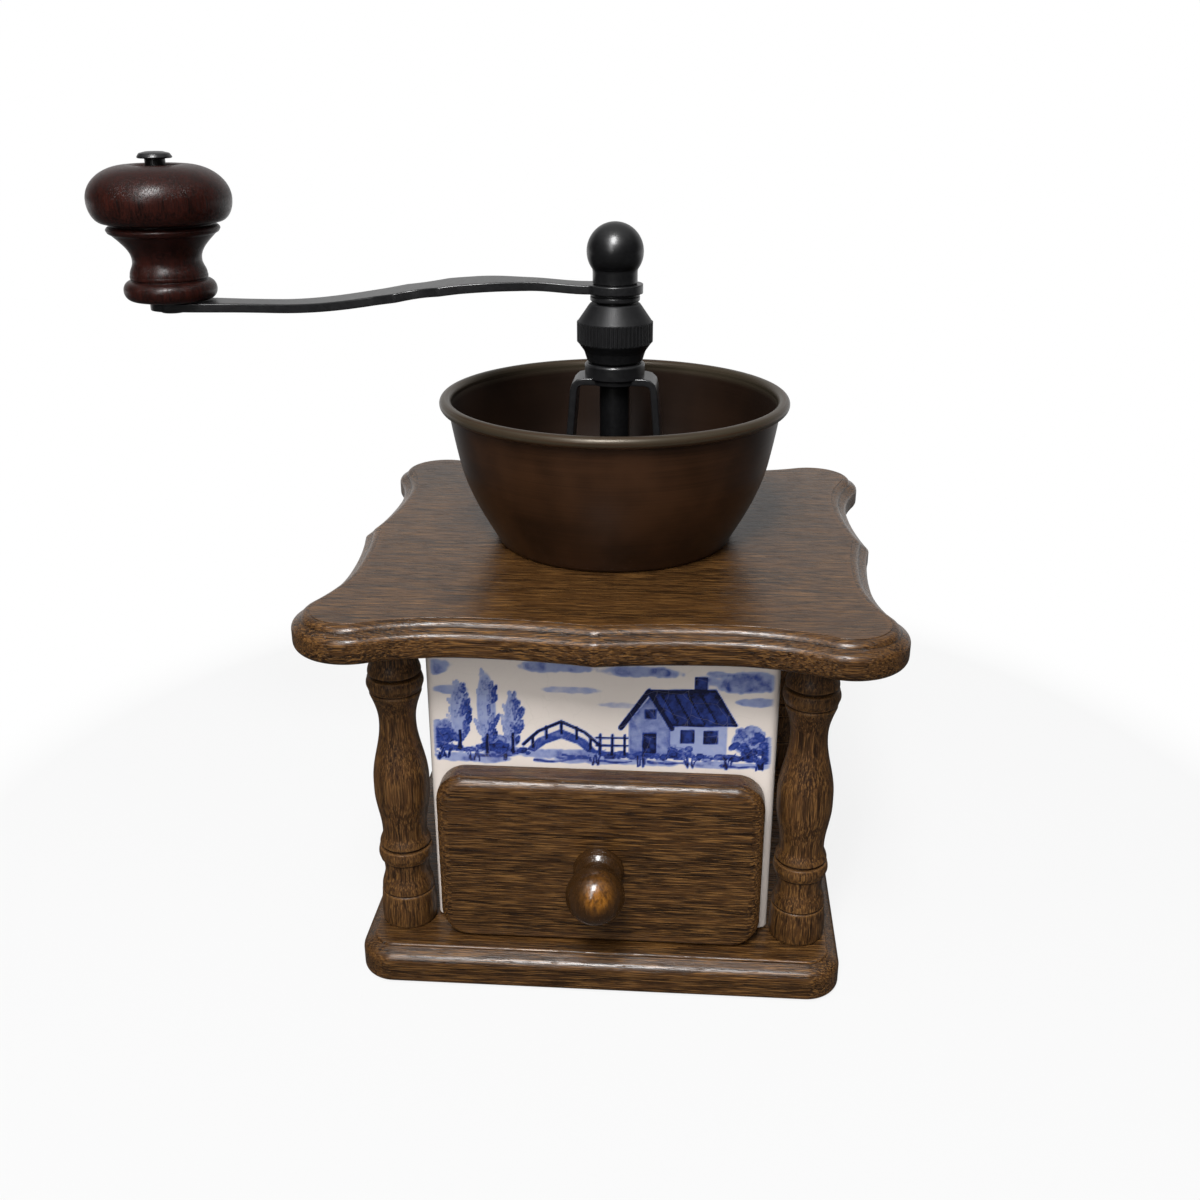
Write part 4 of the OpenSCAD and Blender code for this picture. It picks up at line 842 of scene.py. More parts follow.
class MILL_OT_stage(bpy.types.Operator):
    """Camera, soft studio light, pale floor and white surroundings"""

    bl_idname = "mill.stage"
    bl_label = "Stage and Light"

    def execute(self, context):
        self.place_camera(context)
        self.lay_floor()
        self.hang_lamps(context)
        self.light_world(context)
        context.scene.view_settings.view_transform = "Standard"
        return {"FINISHED"}

    def place_camera(self, context):
        """Camera on a sphere round the mill's middle; its focus and shifts are in pixels of the frame."""
        turn, height, roll = (math.radians(angle) for angle in (3.761, 22.539, 0.215))
        distance, aim = 0.39177, Vector((0, 0, 0.09006))
        frame_side, focus, shift_x, shift_y, sensor = 1200, 1278.45, -13.92, 7.03, 36
        flat = math.cos(height)
        back = Vector((math.sin(turn) * flat, -math.cos(turn) * flat, math.sin(height)))
        right = (-back).cross(Vector((0, 0, 1))).normalized()
        up = right.cross(-back)
        c, s = math.cos(roll), math.sin(roll)
        axes = Matrix((right * c + up * s, up * c - right * s, back)).transposed()
        camera = bpy.data.objects.new("camera", bpy.data.cameras.new("camera"))
        camera.matrix_world = Matrix.Translation(aim + back * distance) @ axes.to_4x4()
        camera.data.sensor_width, camera.data.lens = sensor, focus / frame_side * sensor
        camera.data.shift_x, camera.data.shift_y = shift_x / frame_side, shift_y / frame_side
        camera.data.clip_start = 0.01
        context.scene.collection.objects.link(camera)
        context.scene.camera = camera

    def lay_floor(self):
        """Floor that keeps the mill's shadow and fades to white away from it."""
        side, level = 3000, -0.4
        corners = [(-side, -side, level), (side, -side, level), (side, side, level), (-side, side, level)]
        floor = mesh_piece("floor", (corners, [(0, 1, 2, 3)]), made_material("floor", self.pale_floor))

    def pale_floor(self, web):
        x, y, _ = web.split(web.place())
        camera, mirrored = web.rays()
        away = web.between((x * x + y * y) ** 0.5, 95.0, 260.0)
        level = 1 - mirrored * (1 - web.between(y, 120.0, 900.0)) * 0.92
        white = web.add("ShaderNodeEmission", Color=web.join(level, level, level), Strength=1.0)
        matt = web.add("ShaderNodeBsdfDiffuse", Color=(0.4, 0.4, 0.4))
        return web.mix(web.most(web.most(away, 0.86) * camera, mirrored), matt, white)

    def hang_lamps(self, context):
        """Area lamps: name, place and aim in metres, width, height, watts, and whether metal mirrors them."""
        lamps = [
            ("overhead", (-0.07, -0.74, 1.07), (0, -0.02, 0.08), 0.26, 0.5, 24.0, True),
            ("window_front", (-0.27, -1.15, 0.8), (0, 0, 0.12), 0.12, 0.9, 7.0, True),
            ("window_left", (-1.1, -0.5, 0.6), (0, 0, 0.12), 0.4, 0.6, 3.0, False),
            ("soft_right", (1.1, -0.7, 0.7), (0, 0, 0.1), 0.6, 0.6, 2.0, False),
            ("soft_back", (0.3, 1.3, 0.5), (0, 0, 0.08), 0.6, 0.6, 2.5, False),
        ]
        for name, spot, aim, wide, tall, power, shines in lamps:
            lamp = bpy.data.lights.new(name, "AREA")
            lamp.shape = "RECTANGLE"
            lamp.size, lamp.size_y, lamp.energy = wide, tall, power
            holder = bpy.data.objects.new(name, lamp)
            holder.location = spot
            holder.rotation_euler = (Vector(aim) - Vector(spot)).to_track_quat("-Z", "Y").to_euler()
            holder.visible_glossy = shines
            context.scene.collection.objects.link(holder)

    def light_world(self, context):
        """White to the camera, soft for light, and a dark room with a pale back and top for mirrored rays."""
        world = context.scene.world = bpy.data.worlds.new("surroundings")
        world.use_nodes = True
        world.node_tree.nodes.clear()
        web = Web(world.node_tree)
        _, back, top = web.split(web.out(web.add("ShaderNodeTexCoord"), "Generated"))
        pale = web.most(web.between(back, 0.2, 0.9) * 0.66, web.between(top, 0.4, 0.95) * 0.6)
        backdrop = pale * 0.95 + 0.05
        camera, mirrored = web.rays()
        sky = [((0.92, 0.96, 1.0), 0.2), ((0, 0, 0), 1.0), ((1, 1, 1), 1.0)]
        soft, dark, white = (web.add("ShaderNodeBackground", Color=c, Strength=power) for c, power in sky)
        room = web.mix(web.most(camera, backdrop), dark, white)
        seen = web.mix(web.most(camera, mirrored), soft, room)
        web.add("ShaderNodeOutputWorld", Surface=seen.outputs[0])


# ---- Operators: the wooden case and the glazed body ----


class MILL_OT_boards(bpy.types.Operator):
    """Moulded base board and shaped top board in stained beech"""

    bl_idname = "mill.boards"
    bl_label = "Base and Top Boards"

    def execute(self, context):
        self.base_board(forms())
        self.top_board(forms())
        return {"FINISHED"}

    def base_board(self, size):
        half, _, thick = high("base_plate")
        corner_r = 10
        edge = moulding(thick, size.board_mould / MM, size.board_nose / MM, 3.0, 0.0, 32, 0.7)
        rings = [[(x, y, h) for x, y in round_rect(half - d, half - d, corner_r - d, 16)] for d, h in edge]
        board = mesh_piece("base_board", stacked(rings), stained_beech(0), sharp=18)
        cut_away(board, self.screw_holes(thick + 1))
        dress(board, "case", "stained_beech", "base_plate")

    def screw_holes(self, top):
        """Countersunk holes under the four posts."""
        x, y = middle("post_front_right", 0), middle("post_front_right", 1)
        head_r, bore = high("base_screws")[0] - x + 0.08, 2.08
        hole = lathe([(0, -1), (head_r, -1), (head_r, 0.4), (bore, 2.6), (bore, top), (0, top)], 48)
        holes = [moved(hole, (across, along, 0)) for across in (-x, x) for along in (y, -y)]
        return mesh_piece("screw_holes", joined(*holes), stained_beech(0))

    def top_board(self, size):
        under, (half, _, face) = low("top_plate")[2], high("top_plate")
        throat_r = 21.3
        edge = moulding(face - under, size.top_mould / MM, size.top_nose / MM, 2.0, 2.4, 33, 0.15)
        rings = [[(x, y, under + h) for x, y in top_outline(d, half, size.ear / MM)] for d, h in edge]
        board = mesh_piece("top_board", stacked(rings, throat_r), stained_beech(0), sharp=18)
        # Painted shade: the ridge layer is lowered below the nose, so the board's lower edge renders darker.
        shade_line, shade_run = under + 5.6, 2.0
        for vertex, depth in zip(board.data.vertices, board.data.attributes["ridge"].data):
            depth.value -= 0.38 * min(1.0, max(0.0, (shade_line - vertex.co.z / MM) / shade_run))
        dress(board, "case", "stained_beech", "top_plate")


class MILL_OT_posts(bpy.types.Operator):
    """Four turned corner posts"""

    bl_idname = "mill.posts"
    bl_label = "Turned Posts"

    def execute(self, context):
        size = forms()
        foot_z, top_z = high("base_plate")[2], low("top_plate")[2]
        shape = lathe(self.outline(top_z - foot_z, size), size.turns)
        for side in ("front_left", "front_right", "rear_left", "rear_right"):
            node = f"post_{side}"
            spot = (middle(node, 0), middle(node, 1), foot_z)
            post = mesh_piece(f"turned_post_{side}", moved(shape, spot), post_beech(), sharp=50)
            dress(post, "case", "stained_beech", node)
        return {"FINISHED"}

    def outline(self, h, size):
        """Foot, vase, ring, belly, neck and upper ring, with a dowel that goes up into the top board."""
        radii = (size.foot, size.ring, size.belly, size.neck, size.waist)
        foot, ring, belly, neck, waist = (radius / MM for radius in radii)
        dowel_r, dowel_top = 4.5, h + 5.9
        line = [(0, 0), (foot - 0.5, 0)]
        line += ease((foot - 0.1, 0.9), (foot + 0.05, 4.2), 4)
        line += ease((foot + 0.02, 5), (foot - 0.35, 10.2), 6)
        line += [(foot - 0.8, 10.6), (foot - 0.45, 11.1)]
        line += ease((foot - 0.5, 11.3), (waist + 0.1, 17), 8)
        line += ease((waist + 0.11, 17.4), (waist + 0.4, 20.6), 4)
        line += ease((ring - 0.4, 21), (ring, 22.8), 5) + ease((ring - 0.01, 23.2), (ring - 0.3, 24.9), 4)
        line += [(ring - 1.4, 25.1), (ring - 1.4, 25.5)]
        line += ease((ring - 0.5, 25.9), (waist, 29.6), 7) + ease((waist + 0.01, 30), (belly, 43.5), 14)
        line += ease((belly - 0.01, h - 47), (neck, h - 28.9), 16)
        line += flare((neck + 0.01, h - 28.4), (ring - 0.5, h - 19.5), 12)
        line += [(ring - 1.1, h - 19.1), (ring - 1.1, h - 18.9)]
        line += ease((ring - 0.4, h - 18.6), (ring + 0.1, h - 16.7), 5)
        line += ease((ring + 0.09, h - 16.4), (ring - 0.3, h - 14.6), 4)
        line += [(ring - 1.5, h - 14.3), (ring - 1.5, h - 13.9), (ring - 0.5, h - 13.5)]
        line += ease((ring - 0.45, h - 13.4), (waist - 0.05, h - 8.8), 8) + [(waist - 0.15, h)]
        return soften(line, size.edge / MM) + [(dowel_r, h), (dowel_r, dowel_top), (0, dowel_top)]


class MILL_OT_body(bpy.types.Operator):
    """Glazed body with its painted front"""

    bl_idname = "mill.body"
    bl_label = "Glazed Body"

    def execute(self, context):
        (wide, deep, top), foot = high("ceramic_body"), low("ceramic_body")[2]
        wall, corner_r = 5, 2.5
        mouth_half, mouth_top = high("drawer_bottom")[0] + 3.3, high("drawer_side_left")[2] + 1.5
        outer = self.outline(wide, deep, corner_r, mouth_half)
        in_x, in_y = wide - wall, deep - wall
        inner = [(np.clip(x, -in_x, in_x), np.clip(y, -in_y, in_y)) for x, y in outer]
        levels = self.levels(foot, top, mouth_top)
        points = []
        for z, inset in levels:
            points += [(x * (1 - inset / wide), y * (1 - inset / deep), z) for x, y in outer]
        points += [(x, y, z) for z, _ in levels for x, y in inner]
        faces = self.faces(outer, levels, 0.01 - deep, mouth_half + 0.01, mouth_top)
        x, y, z = np.array(points).T
        brush = Brush(x, z)
        paint_village(brush)
        fade = np.clip((wide - 1.2 - np.abs(x)) / 1.5, 0, 1)
        cobalt = np.where(y < 0.6 - deep, brush.ink * fade, 0)
        glaze = made_material("painted_glaze", painted_glaze)
        body = mesh_piece("glazed_body", (points, faces), glaze, sharp=50, cobalt=cobalt)
        clean = bmesh.new()
        clean.from_mesh(body.data)
        bmesh.ops.delete(clean, geom=[v for v in clean.verts if not v.link_faces], context="VERTS")
        bmesh.ops.remove_doubles(clean, verts=clean.verts, dist=1e-7)
        clean.to_mesh(body.data)
        clean.free()
        dress(body, "case", "glaze", "ceramic_body")
        return {"FINISHED"}

    def faces(self, outer, levels, front, mouth_half, mouth_top):
        """Outer and inner walls with their edges closed, open where the drawer's mouth is."""
        count, start_inner = len(outer), len(outer) * len(levels)
        solid = {}
        for k in range(len(levels) - 1):
            low_mouth = (levels[k][0] + levels[k + 1][0]) / 2 < mouth_top
            for i, (x, y) in enumerate(outer):
                in_mouth = y < front and max(abs(x), abs(outer[(i + 1) % count][0])) < mouth_half
                solid[k, i] = not (in_mouth and low_mouth)
        faces = []
        for k, i in [cell for cell, filled in solid.items() if filled]:
            j = (i + 1) % count
            a, b, c, d = k * count + i, k * count + j, (k + 1) * count + j, (k + 1) * count + i
            faces += [(a, b, c, d), (d + start_inner, c + start_inner, b + start_inner, a + start_inner)]
            edges = [((k - 1, i), a, b), ((k + 1, i), c, d), ((k, (i - 1) % count), d, a), ((k, j), b, c)]
            faces += [(q, p, p + start_inner, q + start_inner) for cell, p, q in edges if not solid.get(cell)]
        return faces

    def outline(self, wide, deep, corner, mouth_half):
        """Dense along the painted front, with a column at each side of the mouth."""
        arcs = round_rect(wide, deep, corner, 6)
        front_right, rear_right, rear_left, front_left = arcs[:7], arcs[7:14], arcs[14:21], arcs[21:]
        edge = wide - corner
        spans = [(-edge, -mouth_half, 20), (-mouth_half, mouth_half, 220), (mouth_half, edge, 20)]
        front = [(a + (b - a) * i / n, -deep) for a, b, n in spans for i in range(n)]
        side = [(wide, y) for y in np.linspace(corner - deep, deep - corner, 25)[1:-1]]
        rear = [(x, deep) for x in np.linspace(edge, -edge, 25)[1:-1]]
        left = [(-wide, -y) for _, y in side]
        return front + front_right + side + rear_right + rear + rear_left + left + front_left[:-1]

    def levels(self, foot, top, mouth_top):
        """Heights with their inset: soft edges at both ends and dense rows where the front shows."""
        edge = 0.9
        ends = arc(edge, edge, edge, 180, 270, 4)
        rows = [*np.linspace(foot + 3, mouth_top, 12), *np.linspace(mouth_top, top - 1.2, 128)[1:]]
        lower = [(foot + rise, inset) for rise, inset in ends]
        upper = [(top - rise, inset) for rise, inset in ends]
        return lower + [(z, 0.0) for z in rows] + upper[::-1]


class MILL_OT_drawer(bpy.types.Operator):
    """Drawer front with its turned knob, and the plain box behind it"""

    bl_idname = "mill.drawer"
    bl_label = "Drawer"

    def execute(self, context):
        self.front(forms())
        self.knob(forms())
        for node in ("drawer_side_left", "drawer_side_right", "drawer_back", "drawer_bottom"):
            eased_copy(node, f"plain_{node}", bare_beech(), 0.35, "drawer", "plain_beech")
        for node in ("drawer_guide_left", "drawer_guide_right"):
            eased_copy(node, f"plain_{node}", bare_beech(), 0.3, "case", "plain_beech")
        return {"FINISHED"}

    def front(self, size):
        """Board laid flat as rings from its back to its face, whose rounding is shallower below."""
        (x0, y0, z0), (x1, y1, z1) = low("drawer_front"), high("drawer_front")
        thick, r, corner_r = y1 - y0, size.drawer_round / MM, 8
        edge = [(0.6, 0), (0.17, 0.17), (0, 0.6)] + arc(r, thick - r, r, 180, 90, 16, r * 0.97)
        rings = []
        for d, h in edge + [(r + 0.5, thick), (r + 3.0, thick)]:
            below = d * 0.3
            line = round_rect((x1 - x0) / 2 - d, (z1 - z0 - d - below) / 2, corner_r - d, 16)
            rings.append([(x, y1 - h, (z0 + z1) / 2 + y + (below - d) / 2) for x, y in line])
        front = mesh_piece("drawer_face_board", stacked(rings), stained_beech(0))
        dress(front, "drawer", "stained_beech", "drawer_front")

    def knob(self, size):
        """Ball on a flared foot, with a painted amber sheen on the upper half of its front."""
        (x0, y0, z0), (x1, y1, z1) = low("drawer_knob"), high("drawer_knob")
        ball, reach = (x1 - x0) / 2, y1 - y0
        neck_r, depth = 5.1, ball * 0.93
        start = math.degrees(math.asin(neck_r / ball)) - 90
        outline = [(0, 0), (6.9, 0), (7.2, 0.5), (7.1, 1.4)] + ease((6.7, 2), (5, 4.6), 7)
        outline += arc(0, reach - depth, ball, start, 90, 27, depth)[:-1] + [(0, reach)]
        shape = lathe(outline, size.turns, soft=size.edge / MM)
        shape = moved(shape, (0, y1, (z0 + z1) / 2), Matrix.Rotation(math.pi / 2, 3, "X"))
        knob = mesh_piece("turned_drawer_knob", shape, amber_beech(), sharp=55)
        # Painted sheen: a soft amber patch on the upper half of the ball's front, written into the ridge
        # layer in place of its edges.
        sheen_x, sheen_z = 0.12 * ball, (z0 + z1) / 2 + 0.45 * ball
        off = [math.hypot(x - sheen_x, z - sheen_z) / ball for x, _, z in shape[0]]
        painted_sheen = [0.8 - d if y < y0 + ball else -0.05 for d, (_, y, _) in zip(off, shape[0])]
        knob.data.attributes["ridge"].data.foreach_set("value", np.array(painted_sheen, np.float32))
        dress(knob, "drawer", "stained_beech", "drawer_knob")


# ---- Operators: hopper, bracket and adjuster ----


class MILL_OT_hopper(bpy.types.Operator):
    """Spun hopper bowl with a rolled rim"""

    bl_idname = "mill.hopper"
    bl_label = "Hopper Bowl"

    def execute(self, context):
        rim_r, base, bead, turns = high("hopper_bowl")[0], low("hopper_bowl")[2], forms().bead / MM, 160
        tall = high("hopper_bowl")[2] - base - bead
        wall_r, crease_r, crease_h, foot_r, throat_r, sheet = rim_r - bead - 0.7, 42.9, 16.0, 34.4, 18.6, 1.0
        foot = [(-1.1, 0), (-0.75, 0.12), (-0.1, 0.6), (0.2, 1.1), (0.5, 1.7)]
        outer = [(foot_r + out, h) for out, h in foot]
        near, knee = (foot_r + 3.25, 6.6), (crease_r + 0.23, crease_h + 0.36)
        bend = list(zip(near, knee, (crease_r + 1.86, crease_h + 8.0)))
        for b in np.linspace(0, 1, 16):
            outer.append(tuple(n * (1 - b) ** 2 + k * 2 * b * (1 - b) + f * b * b for n, k, f in bend))
        start_r, start_h = crease_r + 0.35, crease_h + 1.4
        rise = tall - 0.8 - start_h
        for t in np.linspace(6.6 / rise, 1, 12)[1:]:
            outer.append((start_r + (wall_r - start_r) * (1.25 * t - 0.25 * t * t), start_h + rise * t))
        inner = [(r - sheet, max(h, 0.9)) for r, h in reversed(outer)]
        roll = arc(rim_r - bead, tall, bead, -110, 200, 24)
        outline = [(throat_r, 0)] + outer + roll + inner + [(throat_r, 0.9)]
        beaded = [np.clip((h - tall + 1.4) / 0.8, 0, 1) for _, h in outline]
        # Inside layer: 0 outside and on most of the rim, rising to 1 on the inner wall, where the bowl is
        # rougher and gets its painted shade.
        shaded_inside = [0.0] * (len(outer) + 21) + [0.4, 0.7, 0.9] + [1.0] * (len(inner) + 3)
        layers = {"rim": np.repeat(beaded, turns), "inside": np.repeat(shaded_inside, turns)}
        shape = moved(lathe(outline, turns, closed=True), (0, 0, base))
        brown = made_material("hopper_brown", hopper_metal)
        bowl = mesh_piece("hopper_bowl_spun", shape, brown, sharp=60, **layers)
        dress(bowl, "case", "copper_brown", "hopper_bowl")
        return {"FINISHED"}


class MILL_OT_bracket(bpy.types.Operator):
    """Bent strap bracket with its bearing boss"""

    bl_idname = "mill.bracket"
    bl_label = "Bearing Bracket"

    def execute(self, context):
        size = forms()
        toe, foot_z = high("bearing_bracket")[0], low("bearing_bracket")[2]
        spigot, spigot_r, boss_h, boss_r, root_r, bore = 3, 6.2, 3.7, 8.5, 7.9, 5.1
        boss_top = high("bearing_bracket")[2] - spigot
        top, thick = boss_top - boss_h, 2.0
        boss = [(bore, top - thick), (root_r, top - thick), (root_r, top - 0.5), (boss_r, top - 0.5)]
        boss += [(boss_r, boss_top - 0.5), (boss_r - 0.5, boss_top), (spigot_r, boss_top)]
        boss += [(spigot_r, boss_top + spigot), (bore, boss_top + spigot)]
        collar = lathe(soften(boss, size.metal_edge / MM * 1.5), size.turns, closed=True)
        strap = self.strap(size.strap / MM / 2, thick, toe, foot_z, top)
        under, over = top - 2 * thick, top + thick
        drill = lathe([(0, under), (bore, under), (bore, over), (0, over)], size.turns)
        strap = self.drilled(strap, drill)
        piece = mesh_piece("strap_bracket", joined(strap, collar), black_metal(), sharp=45)
        put_outside_out(piece)
        dress(piece, "case", "black_metal", "bearing_bracket")
        recolour(plated_steel(), "key_screw")
        return {"FINISHED"}

    def strap(self, wide, thick, toe, foot_z, top):
        """Strap from toe to toe over the boss, with round toes."""
        top_half, low_half, mid, bend_r, step = 12.1, 16.0, thick / 2, 2.6, 0.8
        side = [(toe, foot_z + mid), (low_half - mid, foot_z + mid), (top_half - mid, top - mid)]
        bends = soften(side + [(-x, z) for x, z in reversed(side)], bend_r)
        path = []
        for a, b in zip(bends, bends[1:]):
            n = max(1, math.ceil(math.dist(a, b) / step))
            path += [(a[0] + (b[0] - a[0]) * i / n, a[1] + (b[1] - a[1]) * i / n) for i in range(n)]
        path.append(bends[-1])
        past_toe = [max(0, abs(x) - (toe - wide)) for x, _ in path]
        widths = [min(wide, math.sqrt(max(wide**2 - past**2, 0.01))) for past in past_toe]
        return swept_strap(path, widths, thick, 0.35)

    def drilled(self, shape, drill):
        """The first shape without the second, as points and faces again."""
        blank, tool = (mesh_piece("blank", form, black_metal()) for form in (shape, drill))
        put_outside_out(blank, tool)
        cut_away(blank, tool)
        points = [tuple(vertex.co / MM) for vertex in blank.data.vertices]
        faces = [tuple(face.vertices) for face in blank.data.polygons]
        bpy.data.objects.remove(blank)
        return points, faces


def open_tree(name, **kinds):
    """Web of a new Geometry Nodes tree, and what its inputs give: the geometry and sockets of those kinds."""
    tree = bpy.data.node_groups.new(name, "GeometryNodeTree")
    for label, kind in {"Geometry": "Geometry", **kinds, "Finish": "Material"}.items():
        tree.interface.new_socket(label.replace("_", " "), in_out="INPUT", socket_type=f"NodeSocket{kind}")
    tree.interface.new_socket("Geometry", in_out="OUTPUT", socket_type="NodeSocketGeometry")
    web = Web(tree)
    return web, web.add("NodeGroupInput").outputs


def close_tree(web, geometry, given):
    """Gives the geometry the finish that was asked for, and ends the tree."""
    painted = web.add("GeometryNodeSetMaterial", Geometry=geometry.outputs[0], Material=given["Finish"])
    web.add("NodeGroupOutput", Geometry=painted.outputs[0])
    return web.tree


def apply_tree(piece, tree, **inputs):
    """Runs a Geometry Nodes tree on the piece with inputs named by their labels, and keeps the plain mesh."""
    modifier = piece.modifiers.new(tree.name, "NODES")
    modifier.node_group = tree
    for item in tree.interface.items_tree:
        label = item.name.replace(" ", "_").lower()
        if item.in_out == "INPUT" and label in inputs:
            modifier[item.identifier] = inputs[label]
    settle(piece)


def ridged_band():
    """Geometry Nodes tree that adds a ring of upright ridges to a turned body."""
    sizes = ("Band_Radius", "Band_Height", "Band_Level", "Ridge_Width")
    web, given = open_tree("Ridged Band", Ridges="Int", **{label: "Float" for label in sizes})
    circle = web.add("GeometryNodeMeshCircle", Vertices=given["Ridges"], Radius=given["Band Radius"])
    half = Term(web, given["Ridge Width"]) * 0.5
    ridge = web.add("GeometryNodeMeshCylinder", Vertices=10, Radius=half, Depth=given["Band Height"])
    lift = web.join(0.0, 0.0, given["Band Level"])
    raised = web.add("GeometryNodeSetPosition", Geometry=circle.outputs[0], Offset=lift)
    ring = web.add("GeometryNodeInstanceOnPoints", Points=raised.outputs[0], Instance=ridge.outputs[0])
    both = web.add("GeometryNodeJoinGeometry")
    web.feed(both.inputs[0], web.add("GeometryNodeRealizeInstances", Geometry=ring.outputs[0]).outputs[0])
    web.feed(both.inputs[0], given["Geometry"])
    return close_tree(web, both, given)


class MILL_OT_adjuster(bpy.types.Operator):
    """Knurled adjusting nut and the bearing sleeve that runs through it"""

    bl_idname = "mill.adjuster"
    bl_label = "Adjusting Nut"

    def execute(self, context):
        size = forms()
        self.nut(size, size.metal_edge / MM)
        self.sleeve(size, size.metal_edge / MM)
        return {"FINISHED"}

    def nut(self, size, edge):
        """Double cone with a knurled band, bored wide below for the boss's spigot."""
        foot, (outer, _, top) = low("adjusting_nut")[2], high("adjusting_nut")
        band_low, band_top, top_r, bore, seat_r = foot + 5.3, foot + 11.3, 6.95, 5.1, 6.3
        rim = outer - 0.35
        outline = [(seat_r, foot), (7.5, foot), (7.9, foot + 0.5), (8.7, foot + 3.0), (rim, band_low)]
        outline += [(rim, band_top), (top_r + 0.4, top - 0.5), (top_r, top), (bore, top)]
        outline += [(bore, foot + 3.8), (seat_r, foot + 3.8)]
        nut = mesh_piece("knurled_nut", lathe(outline, size.turns, True, edge), worn_black_metal(), sharp=45)
        band = {
            "band_radius": (rim - 0.05) * MM,
            "band_height": (band_top - band_low - 0.5) * MM,
            "band_level": (band_low + band_top) / 2 * MM,
            "ridge_width": 0.8 * MM,
        }
        apply_tree(nut, ridged_band(), ridges=size.ridges, finish=worn_black_metal(), **band)
        dress(nut, "nut", "black_metal", "adjusting_nut")

    def sleeve(self, size, edge):
        foot, top = low("bearing_sleeve")[2], high("bearing_sleeve")[2]
        head, bore, sleeve_r, head_r = top - 1.4, 3.5, 5.0, 6.95
        outline = [(bore, foot), (sleeve_r, foot), (sleeve_r, head), (head_r - 0.3, head)]
        outline += [(head_r, head + 0.3), (head_r, top), (bore, top)]
        shape = lathe(outline, size.turns, True, edge)
        sleeve = mesh_piece("bearing_sleeve_turned", shape, black_metal(), sharp=45)
        dress(sleeve, "sleeve", "black_metal", "bearing_sleeve")


# ---- Operators: crank, knob and grinding set ----


class MILL_OT_crank(bpy.types.Operator):
    """Scalloped crank arm with its washer and ball nut"""

    bl_idname = "mill.crank"
    bl_label = "Crank Arm"

    def execute(self, context):
        self.arm()
        self.ball_nut(forms())
        eased_copy("thrust_washer", "thrust_washer_eased", black_metal(), 0.12, "crank", "steel_fasteners")
        return {"FINISHED"}

    def arm(self):
        reach, thick = -middle("crank_knob", 0), 2.5
        eye, end = high("crank_arm")[0], -low("crank_arm")[0] - reach
        top = high("thrust_washer")[2] + thick
        stations = [-eye * math.cos(a) for a in np.linspace(0.02, math.pi / 2, 16)]
        stations += list(np.linspace(0, reach, 190))[1:-1]
        stations += [reach + end * math.sin(a) for a in np.linspace(0, math.pi / 2 - 0.02, 16)]
        path = [(-d, top - thick / 2 + self.level(d, reach, eye)) for d in stations]
        widths = [self.half_width(d, reach, eye, end) for d in stations]
        arm = mesh_piece("crank_arm_forged", swept_strap(path, widths, thick, 0.35), black_metal(), sharp=40)
        put_outside_out(arm)
        dress(arm, "crank", "black_metal", "crank_arm")

    def level(self, d, reach, eye):
        """Height of the arm against its eye at distance d from the spindle axis."""
        drop, bow = 6.3, 0.8
        fall, rise = np.clip(((d - 30) / (reach - 60), (d - eye) / (24 - eye)), 0, 1)
        return bow * (1 - math.cos(math.pi * rise)) / 2 - (drop + bow) * (1 - math.cos(math.pi * fall)) / 2

    def half_width(self, d, reach, eye, end):
        """Half width of the arm at distance d from the spindle axis."""
        round_eye = math.sqrt(max(eye**2 - d**2, 0)) if abs(d) < eye else 0
        round_end = math.sqrt(max(end**2 - (d - reach) ** 2, 0)) if abs(d - reach) < end else 0
        between = np.interp(d, *self.edge_line(reach)) if 0 < d < reach else 0
        return max(round_eye, round_end, between)

    def edge_line(self, reach):
        """Distances along the arm and half widths there: neck, two cusps with a scallop between, taper."""
        inner, outer, neck, cusp, scallop = reach * 0.38, reach * 0.38 + 12, 4.1, 9.3, 1.7

        def sway(a, b):
            return [(x, y) for y, x in ease(a[::-1], b[::-1], 14)]

        line = sway((6, neck + 0.4), (16, neck)) + sway((17, neck), (inner - 6, cusp - 1.1)) + [(inner, cusp)]
        steps = np.linspace(0.05, 0.95, 15)
        line += [(inner + 12 * t, cusp - scallop * math.sin(math.pi * t)) for t in steps]
        line += [(outer, cusp)] + sway((outer + 6, cusp - 1.4), (reach - 26, 4.7))
        return zip(*line, *sway((reach - 24, 4.7), (reach - 3, 6.0)))

    def ball_nut(self, size):
        foot, (ball, _, top), neck = low("ball_nut")[2], high("ball_nut"), 6.25
        centre = top - ball
        start = math.degrees(math.asin(neck * 1.02 / ball)) - 90
        outline = [(0, foot), (neck - 0.3, foot), (neck, foot + 0.3), (neck, centre - ball * 0.62 - 0.6)]
        outline += arc(0, centre, ball, start, 90, 39)[:-1] + [(0, top)]
        shape = lathe(outline, size.turns, soft=size.metal_edge / MM)
        nut = mesh_piece("ball_nut_turned", shape, black_metal(), sharp=50)
        dress(nut, "crank", "black_metal", "ball_nut")


